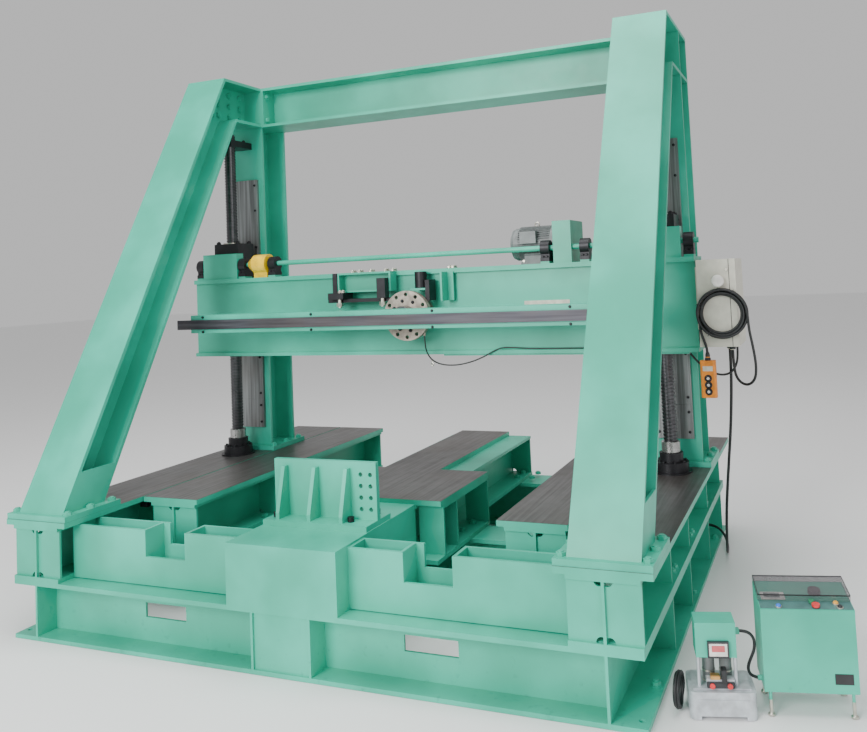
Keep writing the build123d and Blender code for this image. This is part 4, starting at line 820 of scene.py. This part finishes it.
fins = grown("motor_fins", [(0, 0, 0)], fin_tree(), Length=0.200, Radius=MOTOR_R + 0.003, Count=44)
fins.data.transform(Matrix.Translation((MOTOR_X, MOTOR_AXIS.y, MOTOR_AXIS.z))
                    @ Matrix.Rotation(pi / 2, 4, "Y"))
place_piece(fins, "crosshead")

# %% Fan cowl and lifting eye
cowl = lathe([(0, 0), (0.030, 0), (0.034, 0.004), (0.074, 0.004), (0.088, 0.012), (0.0985, 0.030),
              (0.0985, 0.062), (0, 0.062)])
cowl_place = Matrix.Translation((COWL_X, MOTOR_AXIS.y, MOTOR_AXIS.z)) @ Matrix.Rotation(pi / 2, 4, "Y")
place_piece(from_bmesh("motor_cowl", cowl, cowl_place, FINISH["motor_grey"]), "crosshead")


def loop_ring(radius, section, around=32, across=12):
    """A closed ring of round section in the XY plane."""
    shape = bmesh.new()
    rows = []
    for step in range(around):
        a = 2 * pi * step / around
        row = []
        for part in range(across):
            b = 2 * pi * part / across
            out = radius + section * cos(b)
            row.append(shape.verts.new((out * cos(a), out * sin(a), section * sin(b))))
        rows.append(row)
    for row, after in zip(rows, rows[1:] + rows[:1]):
        for part in range(across):
            other = (part + 1) % across
            shape.faces.new((row[part], after[part], after[other], row[other]))
    bmesh.ops.recalc_face_normals(shape, faces=shape.faces)
    return shape


eye_place = Matrix.Translation(at(742, 1686, 2040)) @ Matrix.Rotation(pi / 2, 4, "X")
place_piece(from_bmesh("lifting_eye", loop_ring(0.013, 0.0045), eye_place, FINISH["zinc"]),
            "crosshead")

# %% [markdown]
# Panels, lamps and covers on the cabinet, the pendant, the console and the power pack are small blocks
# with softened edges. Each is a bevelled box, placed in the unit's own turned frame.

# %% Rounded blocks
def soft_block(low, high, edge=0.002, steps=2):
    """A box between two corners with rounded edges."""
    shape = bmesh.new()
    bmesh.ops.create_cube(shape, size=1.0)
    middle = (Vector(low) + Vector(high)) / 2
    size = Vector(high) - Vector(low)
    bmesh.ops.transform(shape, matrix=Matrix.Translation(middle) @ Matrix.Diagonal((*size, 1)),
                        verts=shape.verts)
    bmesh.ops.bevel(shape, geom=shape.edges, offset=edge, segments=steps, affect="EDGES")
    bmesh.ops.recalc_face_normals(shape, faces=shape.faces)
    return shape


def turned(origin, angle):
    return Matrix.Translation(origin) @ Matrix.Rotation(radians(angle), 4, "Z")


def disc(radius, height, edge=0.001, around=32):
    """A round cap with a rounded rim, standing on its own origin."""
    profile = [(0, 0), (radius, 0), (radius, height - edge), (radius - edge, height), (0, height)]
    return lathe(profile, around)


# %% [markdown]
# The pendant has a blank label, a ring round each of its three buttons and a rubber sleeve at its cable.

# %% Pendant
WHITE_PLASTIC = plain_finish("white_plastic", (0.72, 0.70, 0.66), 0.35)
PALE_LABEL = plain_finish("blank_label", (0.62, 0.60, 0.50), 0.5)
BUTTON_HEIGHTS = {"up": 1.148, "down": 1.113, "stop": 1.078}
low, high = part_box("pendant_body")
middle_x = (low.x + high.x) / 2
label = soft_block((middle_x - 0.026, low.y - 0.0008, 1.186), (middle_x + 0.026, low.y + 0.001, 1.212),
                   0.0005)
place_piece(from_bmesh("pendant_label", label, Matrix(), PALE_LABEL), "cabinet_door")
guards = []
for height in BUTTON_HEIGHTS.values():
    seat = Matrix.Translation((middle_x, low.y - 0.001, height)) @ Matrix.Rotation(pi / 2, 4, "X")
    guards.append(from_bmesh("guard", loop_ring(0.0165, 0.0030), seat, FINISH["button_black"]))
place_piece(joined_pieces("pendant_guards", guards), "cabinet_door")
for name, height in BUTTON_HEIGHTS.items():
    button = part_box(f"pendant_{name}_button")[0]
    seat = Matrix.Translation((middle_x, button.y + 0.0005, height)) @ Matrix.Rotation(pi / 2, 4, "X")
    cap = from_bmesh(f"pendant_{name}_cap", disc(0.0075, 0.0016, 0.0006), seat, WHITE_PLASTIC)
    place_piece(cap, f"pendant_{name}")
sleeve = lathe([(0, 0), (0.016, 0), (0.016, 0.012), (0.0125, 0.018), (0.0125, 0.030), (0.0095, 0.044),
                (0, 0.044)])
sleeve_place = Matrix.Translation((middle_x, (low.y + high.y) / 2, 1.2385))
place_piece(from_bmesh("pendant_sleeve", sleeve, sleeve_place, FINISH["button_black"]),
            "cabinet_door")

# %% Blank plate and shackle on the crosshead
plate = soft_block((0.699, 0.1815, 1.562), (0.976, 0.1855, 1.586), 0.0006)
place_piece(from_bmesh("maker_plate", plate, Matrix(), PALE_LABEL), "crosshead")
shackle = [from_bmesh("bow", loop_ring(0.0085, 0.0028), Matrix.Translation(at(128, 1412, 1228))
                      @ Matrix.Rotation(pi / 2, 4, "X"), FINISH["zinc"]),
           from_bmesh("tag", soft_block((-0.003, -0.002, 0), (0.003, 0.002, 0.020), 0.0008),
                      Matrix.Translation(at(128, 1412, 1234)), FINISH["zinc"])]
place_piece(joined_pieces("cable_shackle", shackle), "crosshead")

# %% [markdown]
# The cabinet carries a round hook for the coil, the door's seam, two catches, two cable glands and the
# ties that hold the coil together.

# %% Cabinet
hook = lathe([(0, 0), (0.031, 0), (0.0325, 0.003), (0.0325, 0.009), (0.028, 0.015), (0.016, 0.018),
              (0, 0.019)])
hook_place = Matrix.Translation(at(1823, 1398, 1662)) @ Matrix.Rotation(pi / 2, 4, "X")
place_piece(from_bmesh("cable_hook", hook, hook_place, WHITE_PLASTIC), "cabinet_door")
seam = soft_block((1.8765, 0.1215, 1.312), (1.8795, 0.1240, 1.775), 0.0004)
place_piece(from_bmesh("door_seam", seam, Matrix(), FINISH["button_black"]), "crosshead")
door_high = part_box("cabinet_door")[1]
catches = [from_bmesh("catch", disc(0.009, 0.006), Matrix.Translation((door_high.x - 0.010, 0.1195, z))
                      @ Matrix.Rotation(pi / 2, 4, "X"), FINISH["zinc"]) for z in (1.36, 1.72)]
place_piece(joined_pieces("door_catches", catches), "cabinet_door")
glands = []
for x, back in ((1844, 1600), (1866, 1530)):
    nut = lathe([(0, 0), (0.0165, 0), (0.0165, 0.010), (0.0195, 0.010), (0.0195, 0.020), (0, 0.020)], 6)
    glands.append(from_bmesh("gland", nut, Matrix.Translation(at(x, back, 1290)), FINISH["button_black"]))
place_piece(joined_pieces("cabinet_glands", glands), "crosshead")
ties = []
TIES_R = 121
for angle in (62, 158, 236):
    spot = at(COIL_CENTRE[0] + TIES_R * cos(radians(angle)), COIL_CENTRE[1],
              COIL_CENTRE[2] + TIES_R * sin(radians(angle)))
    wrap = (Matrix.Translation(spot) @ Matrix.Rotation(-radians(angle), 4, "Y")
            @ Matrix.Diagonal((1, 1.05, 1, 1)) @ Matrix.Rotation(pi, 4, "X"))
    ties.append(from_bmesh("tie", loop_ring(0.0205, 0.0016), wrap, FINISH["button_black"]))
place_piece(joined_pieces("coil_ties", ties), "cabinet_door")

# %% [markdown]
# The console's top slopes to the front. Its strip, lamps and display are set in the slope's own frame.

# %% Console
CONSOLE = turned(at(2040, 265, 0), 12)
PANEL_FRONT, PANEL_BACK, PANEL_DEPTH = 0.408, 0.440, 0.210
SLOPE = atan2(PANEL_BACK - PANEL_FRONT, PANEL_DEPTH)
PANEL = CONSOLE @ Matrix.Translation((0, 0, PANEL_FRONT)) @ Matrix.Rotation(SLOPE, 4, "X")
BLUE_LAMP = plain_finish("blue_lamp", (0.02, 0.16, 0.65), 0.2, coat=0.5)
AMBER_LAMP = plain_finish("amber_lamp", (0.75, 0.38, 0.05), 0.25, coat=0.5)
SCREEN = plain_finish("grey_screen", (0.20, 0.235, 0.22), 0.15, coat=0.5)
lamps = []
for spot, finish in (((0.072, 0.017), BLUE_LAMP), ((0.290, 0.044), AMBER_LAMP),
                     ((0.300, 0.017), FINISH["button_black"])):
    seat = PANEL @ Matrix.Translation((*spot, 0.0002))
    lamps.append(from_bmesh("bezel", disc(0.013, 0.004), seat, FINISH["zinc"]))
    lamps.append(from_bmesh("cap", disc(0.0095, 0.010, 0.003), seat, finish))
place_piece(joined_pieces("console_lamps", lamps), "frame")
STRIP_TEAL = plain_finish("panel_teal", (0.055, 0.150, 0.140), 0.42)
strip = soft_block((0.002, 0.002, -0.0004), (0.348, 0.0595, 0.0006), 0.0002)
place_piece(from_bmesh("console_strip", strip, PANEL, STRIP_TEAL), "frame")
LID_LOW, LID_HIGH = 0.0215, 0.0262
edges = [from_bmesh("edge", soft_block((*low, LID_LOW), (*high, LID_HIGH), 0.0008), PANEL,
                    FINISH["button_black"])
         for low, high in (((0.000, 0.0592), (0.350, 0.0622)), ((0.000, 0.0592), (0.003, 0.2105)),
                           ((0.347, 0.0592), (0.350, 0.2105)), ((0.000, 0.2080), (0.350, 0.2110)))]
place_piece(joined_pieces("lid_edges", edges), "console_lid")
bezel = soft_block((0.015, 0.065, 0.0002), (0.107, 0.118, 0.006))
glass = soft_block((0.027, 0.074, 0.0055), (0.088, 0.109, 0.0070), 0.0005)
screen = [from_bmesh("bezel", bezel, PANEL, WHITE_PLASTIC), from_bmesh("glass", glass, PANEL, SCREEN)]
place_piece(joined_pieces("console_display", screen), "frame")
plate = soft_block((0.262, -0.0014, 0.128), (0.330, 0.0004, 0.168), 0.0005)
place_piece(from_bmesh("console_plate", plate, CONSOLE, FINISH["button_black"]), "frame")
rim = soft_block((0.0, -0.0015, 0.388), (0.350, 0.0005, 0.406), 0.0006)
place_piece(from_bmesh("console_rim", rim, CONSOLE, FINISH["green_paint"]), "frame")
FOOT = [(0, 0), (0.014, 0), (0.014, 0.006), (0.007, 0.012), (0.007, 0.060), (0, 0.060)]
feet = [from_bmesh("foot", lathe(FOOT, 24), CONSOLE @ Matrix.Translation((x, y, 0)), FINISH["zinc"])
        for x in (0.022, 0.328) for y in (0.014, 0.196)]
place_piece(joined_pieces("console_feet", feet), "frame")

# %% [markdown]
# The power pack gets its meter's face and readout, valve blocks, the tank's rim and bands on its motors.

# %% Power pack
PACK = turned(PACK_PLACE, PACK_TURN)
BRASS = plain_finish("brass_fitting", (0.62, 0.36, 0.13), 0.3, 0.9)
RED_DIGITS = plain_finish("red_readout", (0.55, 0.10, 0.11), 0.25, coat=0.4)
pack_parts = []


def pack_piece(shape, finish):
    pack_parts.append(from_bmesh("part", shape, PACK, finish))


pack_piece(soft_block((0.086, 0.0252, 0.229), (0.156, 0.027, 0.277), 0.001), WHITE_PLASTIC)
pack_piece(soft_block((0.096, 0.0240, 0.246), (0.146, 0.026, 0.270), 0.001), RED_DIGITS)
pack_piece(soft_block((0.085, 0.020, 0.142), (0.121, 0.050, 0.158)), BRASS)
pack_piece(soft_block((0.127, 0.014, 0.128), (0.147, 0.052, 0.182)), FINISH["button_black"])
pack_piece(soft_block((0.070, 0.016, 0.112), (0.176, 0.028, 0.134)), FINISH["meter_black"])
pack_piece(soft_block((0.030, -0.0022, 0.046), (0.225, 0.001, 0.078), 0.002), FINISH["tank_alloy"])
pack_piece(soft_block((0.016, 0.020, 0.103), (0.240, 0.172, 0.109), 0.002), FINISH["tank_alloy"])
place_piece(joined_pieces("power_pack_parts", pack_parts), "frame")
rings = []
for x in (0.086, 0.152):
    for height in (0.112, 0.150, 0.206):
        seat = PACK @ Matrix.Translation((x, 0.096, height))
        rings.append(from_bmesh("band", lathe([(0, 0), (0.0262, 0), (0.0262, 0.005), (0, 0.005)]), seat,
                                FINISH["zinc"]))
place_piece(joined_pieces("pack_motor_bands", rings), "frame")

# %% [markdown]
# The machine stands on a plain pale floor under soft light: a broad overhead panel, a large window of
# light from the front left and a weak fill, so that the steel shows its form without hard shadows.

# %% Stage and light
def stage_floor(size, colour):
    mesh = bpy.data.meshes.new("floor")
    half = size / 2
    corners = [(-half, -half, 0), (half, -half, 0), (half, half, 0), (-half, half, 0)]
    mesh.from_pydata(corners, [], [(0, 1, 2, 3)])
    floor = bpy.data.objects.new("floor", mesh)
    floor.location.z = -0.002
    bpy.context.collection.objects.link(floor)
    recipe = Recipe("floor_finish")
    recipe.set(Base_Color=(*colour, 1), Roughness=0.75)
    mesh.materials.append(recipe.material)


def soft_light(name, place, aim, size, power):
    light = bpy.data.lights.new(name, "AREA")
    light.size = size
    light.energy = power
    lamp = bpy.data.objects.new(name, light)
    bpy.context.collection.objects.link(lamp)
    lamp.location = place
    lamp.rotation_euler = (Vector(aim) - Vector(place)).to_track_quat("-Z", "Y").to_euler()


stage_floor(80.0, (0.86, 0.86, 0.86))
soft_light("overhead", (0.5, -1.0, 7.5), (0, 0, 0), 5.0, 430)
soft_light("window", (-1.5, -9.0, 4.2), (0.3, 0, 1.2), 4.0, 900)
soft_light("fill", (7.5, -5.5, 3.0), (0.5, 0, 1.2), 4.0, 130)
world = bpy.data.worlds.new("studio")
world.use_nodes = True
world.node_tree.nodes["Background"].inputs["Color"].default_value = (1.0, 1.0, 1.0, 1)
world.node_tree.nodes["Background"].inputs["Strength"].default_value = 0.62
bpy.context.scene.world = world

# %% The end
bpy.context.view_layer.update()
